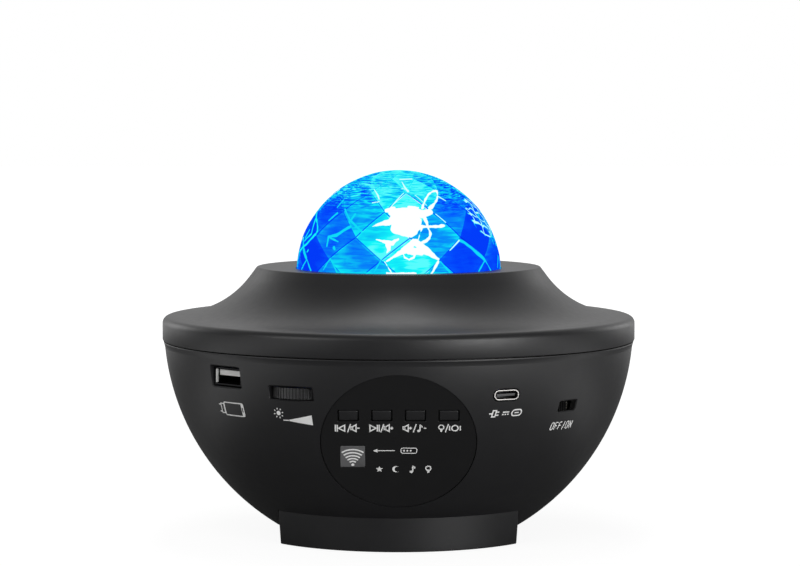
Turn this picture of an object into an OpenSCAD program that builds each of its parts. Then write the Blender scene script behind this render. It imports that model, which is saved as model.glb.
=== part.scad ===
// Star night light projector: a bowl-shaped casing with a glowing dome on top,
// a speaker in its foot, and a lamp, a laser and a turning ripple lens inside.
// Millimetres. The origin is on the axis at the underside of the rubber feet,
// +Z is up and the controls face -Y.

/* [Bowl] */
// Radius of the ball that the bowl is cut from
bowl_r = 83.4; // [83.2:0.1:83.6]
// Height of that ball's centre above the table
bowl_z = 73.6; // [73.4:0.1:73.8]
// Height of the seam between bowl and cover
seam_z = 67.9; // [67.7:0.1:68.1]
// Wall of the moulded casings
wall = 2.4; // [2.2:0.1:2.6]
// Height of the bowl's flat underside beside the pedestal
bowl_low = 3.2; // [3:0.1:4]

/* [Cover] */
// Diameter of the rim, the widest part
rim_d = 167.8; // [167.8:0.2:169.8]
// Height of the ring around the dome, at its outer edge
deck_z = 93.8; // [93.6:0.1:94.2]
// Steepest slope of the cover's side, in degrees
flare_steep = 53; // [52:0.5:54]
// Slope of the cover where it meets the rim, in degrees
flare_shallow = 5.5; // [5:0.5:6.5]
// Radius of the hollow curve between those slopes
flare_r = 34; // [33:0.5:35]
// Height of the rim's upper edge
rim_top_z = 76.2; // [76:0.1:76.5]

/* [Dome] */
// Radius of the faceted dome
dome_r = 36.5; // [36.3:0.1:36.7]
// Height of the dome's top above the table
dome_top = 128; // [127.8:0.1:128.4]
// Diamond facets around the dome
dome_sides = 11; // [9:1:13]
// Thickness of the dome's wall
dome_wall = 2; // [1.8:0.1:2.4]

/* [Pedestal] */
// Half width between the pedestal's two flat sides
foot_half = 41.5; // [41.2:0.1:42]
// Radius of the pedestal's round front and back
foot_r = 56; // [55.4:0.1:56.4]
// Height of the pedestal's top
foot_top = 14; // [13.9:0.1:14.2]
// How much the pedestal narrows towards the table, on each side
foot_taper = 0.9; // [0.4:0.1:1.2]

/* [Control panel] */
// Distance of the panel's face from the centre of the bowl's ball
panel_off = 79.25; // [79.2:0.05:79.35]
// How far the panel looks down, in degrees
panel_tilt = 25.4; // [25:0.2:26]
// Distance from button to button
button_pitch = 11.05; // [10.9:0.05:11.1]
// Height of the button row above the panel's middle
button_row = 10.1; // [9.8:0.1:10.4]
// Width of a button cap
button_w = 6.5; // [6:0.1:6.6]
// Height of a button cap
button_h = 4; // [3.6:0.1:4.2]
// How far a button travels
button_travel = 0.5; // [0.3:0.1:0.5]

/* [Sockets and controls] */
// Azimuth of the USB-A socket, in degrees to the right of the front
usb_a_az = -45; // [-46:0.5:-45]
// Height of the USB-A socket's middle
usb_a_z = 60; // [59.8:0.1:60.2]
// Azimuth of the brightness wheel
wheel_az = -26; // [-26.5:0.5:-25.5]
// Height of the brightness wheel's middle
wheel_z = 56; // [55.9:0.1:56.1]
// Radius of the brightness wheel
wheel_r = 11.5; // [11:0.1:11.6]
// Grip ridges around the brightness wheel
wheel_ridges = 60; // [48:2:66]
// Azimuth of the USB-C socket
usb_c_az = 26; // [25:0.5:27]
// Azimuth of the power switch
switch_az = 45.3; // [45:0.1:46]
// Height of the power switch's middle
switch_z = 50.1; // [50:0.1:50.2]
// Travel of the power switch's knob
switch_travel = 4.2; // [3.6:0.1:4.2]

/* [Speaker] */
// Radius of the speaker's mounting flange
speaker_r = 29; // [28.5:0.5:29.5]
// Radius of the hole that the cone fills
cone_r = 22.8; // [22.6:0.1:23]
// Radius of the speaker's magnet
magnet_r = 17.5; // [16.5:0.5:17.5]

/* [Ripple drive] */
// Module of the gears, pitch diameter over teeth
gear_module = 0.8; // [0.8:0.01:0.82]
// Teeth on the ripple gear
ripple_teeth = 80; // [78:1:80]
// Teeth on the motor's pinion
pinion_teeth = 16; // [16:1:17]
// Radius of the ripple lens
ripple_r = 30.5; // [30.3:0.1:30.7]

/* [Hidden] */
$fn = 72;
EPS = 0.01;

// Colours of the finishes
BLACK = [0.09, 0.09, 0.1];
PANEL_BLACK = [0.06, 0.06, 0.065];
RUBBER = [0.05, 0.05, 0.05];
STEEL = [0.72, 0.73, 0.75];
WHITE = [0.93, 0.93, 0.91];
BOARD_GREEN = [0.07, 0.32, 0.16];
BRASS = [0.8, 0.62, 0.26];
GREY = [0.4, 0.4, 0.42];

// Heights inside the casing
floor_z = foot_top;
floor_top = floor_z + wall;
main_z = 42;
left_z = 50.4;
right_z = 52.3;
board_t = 1.6;
frame_z = 74;
frame_top = frame_z + 2.4;
gear_z = 82;
gear_h = 3;

// Rim and lip
rim_r = rim_d / 2;
shallow_r = 76.9;
rim_round = 2.3;
crease_round = 0.8;
deck_dish = 0.5;
lip_z = seam_z - 2.2;
tongue_out = rim_r - wall - 0.4;
tongue_in = tongue_out - 2.2;
tongue_top = seam_z + 2.3;
hook_span = 12;
hook_count = 6;
hook_r = tongue_in - 1.7;

// Pedestal and base
foot_low = 0.15;
foot_edge = 0.3;
foot_gap = 0.05;
foot_corner = 1.5;
plate_z = 1.4;
plate_t = 2.6;
base_screw_at = [33.5, 22];
rubber_at = [25, 34.5];
column_r = 3.6;

// Screws: the base's, and the smaller ones of the boards and the frame
screw_r = 1.5;
thread_gap = 0.05;
board_screw_r = 1.25;
board_head_r = 2.4;
board_head_h = 1.5;
board_hole_r = 1.4;

// Speaker heights, cone facing down
speaker_z = floor_top;
top_plate_z = speaker_z + 12.6;
top_plate_t = 1.4;
magnet_h = 6.8;
coil_r = 7.8;
pole_r = 6.8;
speaker_screw_at = cone_r + 3.7;

// Panel
panel_r = sqrt(pow(bowl_r, 2) - pow(panel_off, 2));
panel_t = 2;
panel_sink = 0.3;
panel_gap = 0.25;
button_x = [for (i = [0:3]) (i - 1.5) * button_pitch];
ir_at = [-15.2, -5.75];
ir_size = 8.2;
button_board_depth = 7.6;
plunger_top = panel_off - panel_sink - panel_t - 2;
plunger_h = 1.8;
panel_posts = [[-11, 17], [11, 17], [-8, -10.5], [15, -10.5]];

// Optics
dome_z = dome_top - dome_r;
dome_skirt_z = deck_z - wall - 2.2;
cover_hole = dome_r + 0.1;
ear_at = dome_r + 6;
post_at = 44.5;
tube_out = 27.5;
tube_in = 25.6;
ripple_pitch_r = gear_module * ripple_teeth / 2;
pinion_pitch_r = gear_module * pinion_teeth / 2;
motor_y = ripple_pitch_r + pinion_pitch_r;
motor_ear_x = 13;
led_ring = 12;

// Columns that carry the two port boards: azimuth, distance from the axis, height
left_columns = [[-51.5, 60.5], [-24.5, 59.5]];
right_columns = [[25, 61.5], [51, 61.5]];

/* Functions */

function arc(cx, cy, r, from, to, steps) =
    [for (i = [0:steps]) let (a = from + (to - from) * i / steps) [cx + r * cos(a), cy + r * sin(a)]];

function sphere_radius_at(r, z) = sqrt(max(0, pow(r, 2) - pow(z - bowl_z, 2)));

function reversed(list) = [for (i = [len(list) - 1:-1:0]) list[i]];

// Corner b between a and c, rounded with radius r
function rounded(a, b, c, r, steps = 5) =
    let (
        u = (a - b) / norm(a - b),
        v = (c - b) / norm(c - b),
        half = acos(u * v) / 2,
        m = (u + v) / norm(u + v),
        centre = b + m * r / sin(half),
        start = b + u * r / tan(half),
        finish = b + v * r / tan(half),
        a0 = atan2(start[1] - centre[1], start[0] - centre[0]),
        turn = atan2(finish[1] - centre[1], finish[0] - centre[0]) - a0,
        a1 = a0 + (turn > 180 ? turn - 360 : turn < -180 ? turn + 360 : turn)
    )
    arc(centre[0], centre[1], r, a0, a1, steps);

// Outline of the pedestal: a circle cut by two flat sides, its corners rounded
function pedestal_outline(grow) =
    let (
        r = foot_r + grow,
        cx = foot_half + grow - foot_corner,
        cy = sqrt(pow(r - foot_corner, 2) - pow(cx, 2)),
        phi = atan2(cy, cx)
    )
    concat(
        arc(cx, cy, foot_corner, 0, phi, 4), arc(0, 0, r, phi, 180 - phi, 24),
        arc(-cx, cy, foot_corner, 180 - phi, 180, 4), arc(-cx, -cy, foot_corner, 180, 180 + phi, 4),
        arc(0, 0, r, 180 + phi, 360 - phi, 24), arc(cx, -cy, foot_corner, 360 - phi, 360, 4)
    );

// Half angle of an involute tooth at radius r
function tooth_half(r, pitch_r, teeth, play) =
    let (
        base_r = pitch_r * cos(20),
        a = r > base_r ? acos(base_r / r) : 0,
        inv20 = tan(20) * 180 / PI - 20,
        inv = tan(a) * 180 / PI - a
    )
    90 / teeth - play / pitch_r * 90 / PI + inv20 - inv;

function gear_outline(teeth, play = 0.16) =
    let (
        pitch_r = gear_module * teeth / 2,
        root = pitch_r - 1.2 * gear_module,
        tip = pitch_r + 0.9 * gear_module,
        steps = 4,
        radii = [for (i = [0:steps]) root + (tip - root) * i / steps]
    )
    [for (k = [0:teeth - 1]) let (mid = 360 * k / teeth)
        for (p = concat(
            [for (r = radii) [r, mid - tooth_half(r, pitch_r, teeth, play)]],
            [for (r = reversed(radii)) [r, mid + tooth_half(r, pitch_r, teeth, play)]]))
        [p[0] * cos(p[1]), p[0] * sin(p[1])]];

// One pass of corner cutting on a lead's route
function softer(p) = concat(
    [p[0]],
    [for (i = [0:len(p) - 2]) for (t = [0.25, 0.75]) p[i] * (1 - t) + p[i + 1] * t],
    [p[len(p) - 1]]
);

/* Shared shapes */

// Stands children on the bowl's side: -Y points out of the casing
module at_azimuth(az) {
    rotate([0, 0, az]) children();
}

// Panel's own frame: z = 0 on the ball's centre side, the panel's face at z = panel_off
module on_panel() {
    translate([0, 0, bowl_z]) rotate([90 + panel_tilt, 0, 0]) children();
}

module slab(x, y, z, at = [0, 0, 0]) {
    translate(at) cube([x, y, z], center = true);
}

module tube(outer, inner, h) {
    difference() {
        cylinder(r = outer, h = h);
        translate([0, 0, -EPS]) cylinder(r = inner, h = h + 2 * EPS);
    }
}

// A cross-head screw, its head below z = 0 and its shank above
module cross_screw(head_r, head_h, shank_r, length) {
    difference() {
        union() {
            translate([0, 0, -head_h]) cylinder(r = head_r, h = head_h);
            translate([0, 0, -EPS]) cylinder(r = shank_r, h = length);
        }
        for (a = [0, 90]) rotate([0, 0, a]) slab(head_r * 1.3, head_r * 0.28, head_h, [0, 0, -head_h]);
    }
}

module four(at) {
    for (sx = [-1, 1], sy = [-1, 1]) translate([sx * at[0], sy * at[1], 0]) children();
}

// Flat shape with round ends, w wide and h high, lying along X and facing -Y
module obround(w, h, depth) {
    rotate([90, 0, 0]) {
        for (s = [-1, 1]) translate([s * (w - h) / 2, 0, 0]) cylinder(r = h / 2, h = depth);
        translate([-(w - h) / 2, -h / 2, 0]) cube([w - h, h, depth]);
    }
}

// A lead swept along route, a list of [out, up] points in the vertical plane at azimuth az
module lead(route, az, r, shift = 0) {
    path = softer(softer(route));
    n = len(path);
    sides = 8;
    points = [for (i = [0:n - 1])
        let (
            d = path[min(i + 1, n - 1)] - path[max(i - 1, 0)],
            t = d / norm(d)
        )
        for (k = [0:sides - 1]) let (a = 360 * k / sides)
            [shift + r * cos(a), -(path[i][0] - r * sin(a) * t[1]), path[i][1] + r * sin(a) * t[0]]];
    faces = concat(
        [[for (k = [sides - 1:-1:0]) k]],
        [for (i = [0:n - 2], k = [0:sides - 1])
            let (a = i * sides + k, b = i * sides + (k + 1) % sides) [a, b, b + sides, a + sides]],
        [[for (k = [0:sides - 1]) (n - 1) * sides + k]]
    );
    at_azimuth(az) polyhedron(points = points, faces = faces, convexity = 6);
}

/* Casing */

module bowl_shell() {
    color(BLACK) difference() {
        union() {
            difference() {
                union() {
                    intersection() {
                        translate([0, 0, bowl_z]) sphere(r = bowl_r);
                        translate([0, 0, bowl_low]) cylinder(r = rim_r, h = lip_z - bowl_low + 0.4);
                    }
                    bowl_lip();
                }
                bowl_hollow();
                pedestal_room();
            }
            bowl_floor();
            panel_ledge();
            intersection() {
                bowl_columns();
                translate([0, 0, bowl_z]) sphere(r = bowl_r - wall / 2);
            }
        }
        // Panel hole
        on_panel() translate([0, 0, panel_off - panel_t - panel_sink]) cylinder(r = panel_r, h = 12);
        port_holes();
        // Screw holes in the columns, from below and from above
        four(base_screw_at) translate([0, 0, floor_z - EPS]) cylinder(r = screw_r + thread_gap, h = 12);
        four(base_screw_at) translate([0, 0, main_z - 9])
            cylinder(r = board_screw_r + thread_gap, h = 9 + EPS);
        for (c = left_columns) at_azimuth(c[0]) translate([0, -c[1], left_z - 8])
            cylinder(r = board_screw_r + thread_gap, h = 8 + EPS);
        for (c = right_columns) at_azimuth(c[0]) translate([0, -c[1], right_z - 8])
            cylinder(r = board_screw_r + thread_gap, h = 8 + EPS);
    }
}

// Lip under the cover, with the tongue that the cover's hooks catch
module bowl_lip() {
    // The underside starts inside the bowl's skin, so that the two cross in a clean line
    edge_r = sphere_radius_at(bowl_r, lip_z) - 0.3;
    rotate_extrude() polygon([
        [edge_r - wall, lip_z], [edge_r, lip_z], [rim_r - 0.4, lip_z + 1.6], [rim_r - 0.4, seam_z - 0.1],
        [tongue_out, seam_z - 0.1], [tongue_out, tongue_top], [tongue_in, tongue_top], [tongue_in, lip_z + 1],
        [edge_r - wall, lip_z + 1]
    ]);
}

module bowl_hollow() {
    intersection() {
        translate([0, 0, bowl_z]) sphere(r = bowl_r - wall);
        translate([0, 0, bowl_low + wall]) cylinder(r = rim_r, h = lip_z + 1 - bowl_low - wall);
    }
}

// The pedestal's place, cut out of the bowl's underside
module pedestal_room() {
    intersection() {
        translate([0, 0, -1]) cylinder(r = foot_r + foot_gap, h = foot_top + 1);
        slab(2 * (foot_half + foot_gap), 4 * foot_r, 2 * foot_top, [0, 0, 0]);
    }
}

module bowl_floor() {
    difference() {
        intersection() {
            translate([0, 0, bowl_z]) sphere(r = bowl_r - wall / 2);
            translate([0, 0, floor_z]) cylinder(r = rim_r, h = wall);
        }
        translate([0, 0, floor_z - EPS]) cylinder(r = cone_r, h = wall + 2 * EPS);
        for (a = [45:90:315]) rotate([0, 0, a]) translate([speaker_screw_at, 0, floor_z - EPS])
            cylinder(r = 1.1 + thread_gap, h = wall + 2 * EPS);
    }
}

// Ring behind the panel that it rests on
module panel_ledge() {
    ledge_out = panel_r + 2.6;
    ledge_in = panel_r - 1.3;
    on_panel() translate([0, 0, panel_off - panel_t - panel_sink - 2]) tube(ledge_out, ledge_in, 2);
}

module bowl_columns() {
    four(base_screw_at) translate([0, 0, floor_z]) cylinder(r = column_r, h = main_z - floor_z);
    for (c = left_columns) at_azimuth(c[0]) translate([0, -c[1], 8]) cylinder(r = 2.8, h = left_z - 8);
    for (c = right_columns) at_azimuth(c[0]) translate([0, -c[1], 8]) cylinder(r = 2.8, h = right_z - 8);
}

module port_holes() {
    reach = 10;
    at_azimuth(usb_a_az) slab(14.2, reach, 7, [0, -bowl_r, usb_a_z]);
    at_azimuth(wheel_az) {
        slab(16.3, reach, 4.4, [0, -bowl_r, wheel_z]);
        translate([0, -wheel_out, wheel_z - 2.2]) cylinder(r = wheel_r + 0.6, h = 4.4);
    }
    at_azimuth(usb_c_az) translate([0, -bowl_r + reach, usb_c_z]) obround(9.7, 3.9, 2 * reach);
    at_azimuth(switch_az) slab(8.6, reach, 3.5, [0, -bowl_r + 3, switch_z]);
}

// Cover: ring that dips a little towards the dome, hollow flare and the rim's upright band
module top_cover() {
    color(BLACK) union() {
        difference() {
            union() {
                rotate_extrude() polygon(cover_profile());
                for (a = [45:90:315]) rotate([0, 0, a]) translate([post_at, 0, frame_top])
                    cylinder(r = 3.2, h = deck_z - wall / 2 - frame_top);
            }
            for (a = [45:90:315]) rotate([0, 0, a]) translate([post_at, 0, frame_top - EPS])
                cylinder(r = board_screw_r + thread_gap, h = 10);
            for (a = [0:90:270]) rotate([0, 0, a]) translate([ear_at, 0, deck_z - wall - EPS])
                cylinder(r = 1 + thread_gap, h = 1.6);
        }
        cover_hooks();
    }
}

// Where the hollow curve ends and the straight slope to the rim begins
function shallow_end() = [shallow_r, rim_top_z + (rim_r - shallow_r) * tan(flare_shallow)];

function flare_centre() = shallow_end() + flare_r * [sin(flare_shallow), cos(flare_shallow)];

function cover_profile() =
    let (
        c = flare_centre(),
        steep_start = c - flare_r * [sin(flare_steep), cos(flare_steep)],
        crease = [steep_start[0] - (deck_z - steep_start[1]) / tan(flare_steep), deck_z],
        inner_crease = [crease[0] - wall * tan(flare_steep / 2), deck_z - wall],
        band_in = rim_r - wall,
        inner_end = c - (flare_r + wall) * [sin(flare_shallow), cos(flare_shallow)],
        inner_corner_z = inner_end[1] - (band_in - inner_end[0]) * tan(flare_shallow),
        outer_corner = [rim_r, rim_top_z]
    )
    concat(
        [[cover_hole, deck_z - deck_dish]],
        rounded([cover_hole, deck_z - deck_dish], crease, steep_start, crease_round),
        arc(c[0], c[1], flare_r, 270 - flare_steep, 270 - flare_shallow, 16),
        rounded(shallow_end(), outer_corner, [rim_r, seam_z], rim_round),
        [[rim_r, seam_z + 0.6], [rim_r - 0.4, seam_z + 0.2], [band_in, seam_z + 0.2]],
        [[band_in, inner_corner_z]],
        arc(c[0], c[1], flare_r + wall, 270 - flare_shallow, 270 - flare_steep, 16),
        [inner_crease, [cover_hole, deck_z - wall]]
    );

// Snap hooks that hang inside the bowl's tongue and catch under it
module cover_hooks() {
    lug_z = lip_z - 0.8;
    lug_out = tongue_in + 1;
    for (i = [1:hook_count]) rotate([0, 0, 360 / hook_count * i - hook_span / 2])
        rotate_extrude(angle = hook_span) polygon([
            [hook_r, lug_z], [lug_out, lug_z], [lug_out, lug_z + 1.6], [tongue_in - 0.3, lug_z + 1.6],
            [tongue_in - 0.3, rim_top_z - 0.8], [hook_r, rim_top_z - 0.8]
        ]);
}

/* Pedestal and base */

module pedestal() {
    height = foot_top - foot_low;
    color(BLACK) difference() {
        union() {
            difference() {
                hull() {
                    foot_slice(foot_low, -foot_taper - foot_edge);
                    foot_slice(foot_low + 0.3 * foot_edge, -foot_taper - 0.3 * foot_edge);
                    foot_slice(foot_low + foot_edge, -foot_taper);
                    foot_slice(foot_top - EPS, 0);
                }
                hull() {
                    foot_slice(foot_low - EPS, -foot_taper - wall);
                    foot_slice(foot_top - 2.2, -wall);
                }
            }
            four(base_screw_at) translate([0, 0, plate_z + plate_t + 1.4])
                cylinder(r = column_r, h = foot_top - plate_z - plate_t - 1.4);
        }
        translate([0, 0, foot_top - 3]) cylinder(r = 30, h = 4);
        four(base_screw_at) cylinder(r = screw_r + 0.2, h = height + 2);
    }
}

module foot_slice(z, grow) {
    translate([0, 0, z]) linear_extrude(EPS) polygon(pedestal_outline(grow));
}

// Base plate with the speaker's grille, closing the pedestal from below
module base_plate() {
    color(BLACK) difference() {
        union() {
            translate([0, 0, plate_z]) linear_extrude(plate_t)
                polygon(pedestal_outline(-foot_taper - wall - 0.25));
            four(base_screw_at) translate([0, 0, plate_z + plate_t - EPS]) cylinder(r = 4.2, h = 1.4 + EPS);
        }
        four(base_screw_at) {
            translate([0, 0, plate_z - EPS]) cylinder(r = 3.1, h = 1.9 + EPS);
            translate([0, 0, plate_z]) cylinder(r = screw_r + 0.2, h = 6);
        }
        four(rubber_at) translate([0, 0, plate_z - EPS]) cylinder(r = 5.7, h = 1.2 + EPS);
        translate([0, 0, plate_z - EPS]) cylinder(r = 1.1, h = plate_t + 2 * EPS);
        for (ring = [1:4], k = [0:6 * ring - 1]) rotate([0, 0, 60 * k / ring])
            translate([5 * ring, 0, plate_z - EPS]) cylinder(r = 1.1, h = plate_t + 2 * EPS);
    }
}

module rubber_feet() {
    color(RUBBER) four(rubber_at) {
        cylinder(r1 = 5.1, r2 = 5.5, h = 0.5);
        translate([0, 0, 0.5 - EPS]) cylinder(r = 5.5, h = plate_z + 1.2 - 0.5 + EPS);
    }
}

module base_screws() {
    color(STEEL) four(base_screw_at) translate([0, 0, plate_z + 1.9]) cross_screw(2.8, 1.7, screw_r, 21);
}

/* Control panel */

module control_panel() {
    face = panel_off - panel_sink;
    color(PANEL_BLACK) on_panel() difference() {
        union() {
            translate([0, 0, face - panel_t]) cylinder(r = panel_r - 0.15, h = panel_t);
            for (p = panel_posts) translate([p[0], p[1], panel_off - button_board_depth])
                cylinder(r = 2.2, h = button_board_depth - panel_sink - panel_t + EPS);
        }
        for (x = button_x) slab(button_w + 2 * panel_gap, button_h + 2 * panel_gap, 3 * panel_t,
            [x, button_row, face]);
        slab(ir_size + 0.1, ir_size + 0.1, 2.2, [ir_at[0], ir_at[1], face]);
        slab(ir_size - 2, ir_size - 2, 3 * panel_t, [ir_at[0], ir_at[1], face]);
        for (p = panel_posts) translate([p[0], p[1], panel_off - button_board_depth - EPS])
            cylinder(r = 1 + thread_gap, h = 5);
    }
}

module ir_window() {
    face = panel_off - panel_sink;
    color([0.35, 0.35, 0.37]) on_panel() slab(ir_size, ir_size, 1.1, [ir_at[0], ir_at[1], face - 0.5]);
}

// A button cap with its retaining flange and the stem that presses the switch
module button(x) {
    face = panel_off - panel_sink - 0.5;
    back = panel_off - panel_sink - panel_t;
    color(PANEL_BLACK) on_panel() translate([x, button_row, 0]) {
        slab(button_w, button_h, face - back + 0.4, [0, 0, (face + back - 0.4) / 2]);
        slab(button_w + 1, button_h + 1.2, 0.7, [0, 0, back - 0.1 - 0.35]);
        translate([0, 0, back - 2]) cylinder(r = 1.4, h = 1.6);
    }
}

// Plunger of a switch, which rides with its button
module plunger(x) {
    color(WHITE) on_panel() translate([x, button_row, plunger_top - plunger_h])
        cylinder(r = 1, h = plunger_h);
}

// Each switch body is hollow under its plunger by the travel and a little more
module tact_switches() {
    low = panel_off - button_board_depth;
    height = 2.6;
    hollow_z = plunger_top - plunger_h - button_travel - 0.2;
    color(STEEL) on_panel() for (x = button_x) difference() {
        slab(4.5, 4.5, height, [x, button_row, low + height / 2]);
        translate([x, button_row, hollow_z]) cylinder(r = 1.3, h = height);
    }
}

module button_board() {
    color(BOARD_GREEN) on_panel() difference() {
        slab(40.6, 33, board_t, [0, 3.5, panel_off - button_board_depth - board_t / 2]);
        for (p = panel_posts) translate([p[0], p[1], panel_off - button_board_depth - board_t - EPS])
            cylinder(r = 1.2, h = board_t + 2 * EPS);
    }
}

// Infrared receiver, a small block with a round lens, behind its window
module ir_receiver() {
    low = panel_off - button_board_depth;
    color([0.1, 0.1, 0.12]) on_panel() translate([ir_at[0], ir_at[1], low]) {
        slab(5.6, 6.6, 2.4, [0, 0, 1.2]);
        intersection() {
            translate([0, 0, 1.8]) sphere(r = 2.2);
            translate([0, 0, 1]) cylinder(r = 3, h = 4);
        }
    }
}

/* Sockets, wheel and switch */

usb_a_front = sphere_radius_at(bowl_r, usb_a_z) - 1.4;
usb_a_w = 13.2;
usb_a_h = 5.8;
usb_a_deep = 14;
usb_skin = 0.4;

module usb_a_shell() {
    color(STEEL) at_azimuth(usb_a_az) difference() {
        slab(usb_a_w, usb_a_deep, usb_a_h, [0, -usb_a_front + usb_a_deep / 2, usb_a_z]);
        slab(usb_a_w - 2 * usb_skin, usb_a_deep, usb_a_h - 2 * usb_skin,
            [0, -usb_a_front + usb_a_deep / 2 - usb_skin, usb_a_z]);
    }
}

module usb_a_insert() {
    inner_w = usb_a_w - 2 * usb_skin;
    inner_h = usb_a_h - 2 * usb_skin;
    back = -usb_a_front + usb_a_deep - usb_skin;
    color(WHITE) at_azimuth(usb_a_az) {
        slab(inner_w, 2.4, inner_h, [0, back - 1.2, usb_a_z]);
        slab(inner_w - 1, 9.8, 1.8, [0, back - 2.4 - 4.9 + EPS, usb_a_z + 1.1]);
    }
}

module usb_a_contacts() {
    back = -usb_a_front + usb_a_deep - usb_skin;
    color(BRASS) at_azimuth(usb_a_az) for (x = [-3.5, -1, 1, 3.5])
        slab(1, 8, 0.25, [x, back - 2.4 - 4.2, usb_a_z + 0.2 - 0.125]);
}

// Plastic block that lifts the USB-A socket off its board
module usb_a_riser() {
    low = left_z + board_t;
    high = usb_a_z - usb_a_h / 2;
    color(RUBBER) at_azimuth(usb_a_az) slab(12.6, 9, high - low, [0, -71, (low + high) / 2]);
}

usb_c_h = 3.3;
usb_c_w = 9.1;
usb_c_z = right_z + board_t + usb_c_h / 2;
usb_c_front = sphere_radius_at(bowl_r, usb_c_z) - 0.1;

module usb_c_shell() {
    deep = 8;
    color(STEEL) at_azimuth(usb_c_az) difference() {
        translate([0, -usb_c_front + deep, usb_c_z]) obround(usb_c_w, usb_c_h, deep);
        translate([0, -usb_c_front + deep - 0.4, usb_c_z]) obround(usb_c_w - 0.6, usb_c_h - 0.6, deep);
    }
}

module usb_c_insert() {
    color([0.2, 0.2, 0.21]) at_azimuth(usb_c_az) {
        translate([0, -usb_c_front + 7.6, usb_c_z]) obround(usb_c_w - 0.6, usb_c_h - 0.6, 1.6);
        slab(6.7, 5.4, 0.7, [0, -usb_c_front + 3.4, usb_c_z]);
    }
}

wheel_h = 3.6;
wheel_out = sphere_radius_at(bowl_r, wheel_z) + 0.4 - wheel_r;

// Brightness wheel, ridged all round, on the post of its potentiometer
module dimmer_wheel() {
    color(RUBBER) at_azimuth(wheel_az) translate([0, -wheel_out, wheel_z - wheel_h / 2])
        difference() {
            linear_extrude(wheel_h) polygon([for (k = [0:wheel_ridges - 1]) for (e = [0:3])
                let (
                    a = 360 * (k + [0, 0.22, 0.5, 0.72][e]) / wheel_ridges,
                    r = wheel_r - [0.45, 0, 0, 0.45][e]
                )
                [r * cos(a), r * sin(a)]]);
            translate([0, 0, -EPS]) cylinder(r = 1.7, h = wheel_h + 2 * EPS);
        }
}

module dimmer_pot() {
    low = left_z + board_t;
    high = wheel_z - wheel_h / 2 - 0.3;
    color(GREY) at_azimuth(wheel_az) translate([0, -wheel_out, 0]) {
        slab(12, 11, high - low, [0, 0, (low + high) / 2]);
        translate([0, 0, high - EPS]) cylinder(r = 1.6, h = wheel_h + 0.6);
        translate([0, 0, high + wheel_h + 0.5]) cylinder(r = 2.6, h = 0.6);
    }
}

// A port board follows the bowl's wall between two azimuths
module port_board(z, from, to, inner, outer, columns) {
    difference() {
        rotate([0, 0, from - 90]) rotate_extrude(angle = to - from)
            translate([inner, z]) square([outer - inner, board_t]);
        for (c = columns) at_azimuth(c[0]) translate([0, -c[1], z - EPS])
            cylinder(r = board_hole_r, h = board_t + 2 * EPS);
    }
}

module left_board() {
    color(BOARD_GREEN) port_board(left_z, -55, -20.5, 56, 76, left_columns);
}

module right_board() {
    color(BOARD_GREEN) port_board(right_z, 20.5, 55, 58, 76.4, right_columns);
}

switch_w = 11;
switch_front = 75.8;
knob_w = 3.6;
knob_h = 2.9;

module switch_body() {
    high = right_z;
    low = 2 * switch_z - right_z;
    color(STEEL) at_azimuth(switch_az) difference() {
        slab(switch_w, 6.4, high - low, [0, -switch_front + 3.2, switch_z]);
        slab(switch_travel + knob_w + 0.8, 5.6, knob_h + 0.6, [0, -switch_front, switch_z]);
    }
}

// Slide switch knob, at rest at the left, off
module switch_knob() {
    outer = sphere_radius_at(bowl_r, switch_z) - 0.6;
    inner = switch_front - 2.5;
    color(RUBBER) at_azimuth(switch_az) translate([-switch_travel / 2, 0, switch_z]) difference() {
        slab(knob_w, outer - inner, knob_h, [0, -(outer + inner) / 2, 0]);
        for (x = [-0.9, 0, 0.9]) slab(0.35, 0.8, 4, [x, -outer, 0]);
    }
}

module board_screws() {
    color(STEEL) {
        four(base_screw_at) translate([0, 0, main_z + board_t]) rotate([180, 0, 0])
            cross_screw(board_head_r, board_head_h, board_screw_r, 9);
        for (c = left_columns) at_azimuth(c[0]) translate([0, -c[1], left_z + board_t]) rotate([180, 0, 0])
            cross_screw(board_head_r, board_head_h, board_screw_r, 8);
        for (c = right_columns) at_azimuth(c[0]) translate([0, -c[1], right_z + board_t]) rotate([180, 0, 0])
            cross_screw(board_head_r, board_head_h, board_screw_r, 8);
        on_panel() for (p = panel_posts)
            translate([p[0], p[1], panel_off - button_board_depth - board_t]) cross_screw(1.9, 1.2, 1, 5.5);
    }
}

/* Main board */

main_half = [40, 38];

module main_board() {
    color(BOARD_GREEN) difference() {
        slab(2 * main_half[0], 2 * main_half[1], board_t, [0, 0, main_z + board_t / 2]);
        four(base_screw_at) translate([0, 0, main_z - EPS]) cylinder(r = board_hole_r, h = board_t + 2 * EPS);
    }
}

// Control chip, amplifier, memory, coil and the shielded radio module
module main_chips() {
    top = main_z + board_t;
    color([0.12, 0.12, 0.13]) {
        slab(7, 7, 1.2, [10, -6, top + 0.6]);
        slab(5, 4, 1.5, [-8, 12, top + 0.75]);
        slab(5, 6, 1.5, [22, 6, top + 0.75]);
        translate([-20, -12, top]) cylinder(r = 3.4, h = 4);
        slab(14, 18, 2.2, [-4, -20, top + 1.1]);
    }
}

module capacitors() {
    top = main_z + board_t;
    for (c = [[-30, 2, 4, 11], [-21, 4, 3.2, 9], [24, -14, 4, 11], [15, -24, 3.2, 9]])
        color([0.1, 0.12, 0.2]) translate([c[0], c[1], top]) cylinder(r = c[2], h = c[3]);
}

// Plug-in sockets for the leads: x, y and turn
socket_places = [[8, 31, 0], [-8, 31, 0], [32, 0, 90], [-24.7, -33, -36], [24.7, -33, 36]];
socket_h = 5.4;

module lead_sockets() {
    top = main_z + board_t;
    color(WHITE) for (s = socket_places) translate([s[0], s[1], top]) rotate([0, 0, s[2]])
        slab(8, 5, socket_h, [0, 0, socket_h / 2]);
}

/* Speaker */

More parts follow.
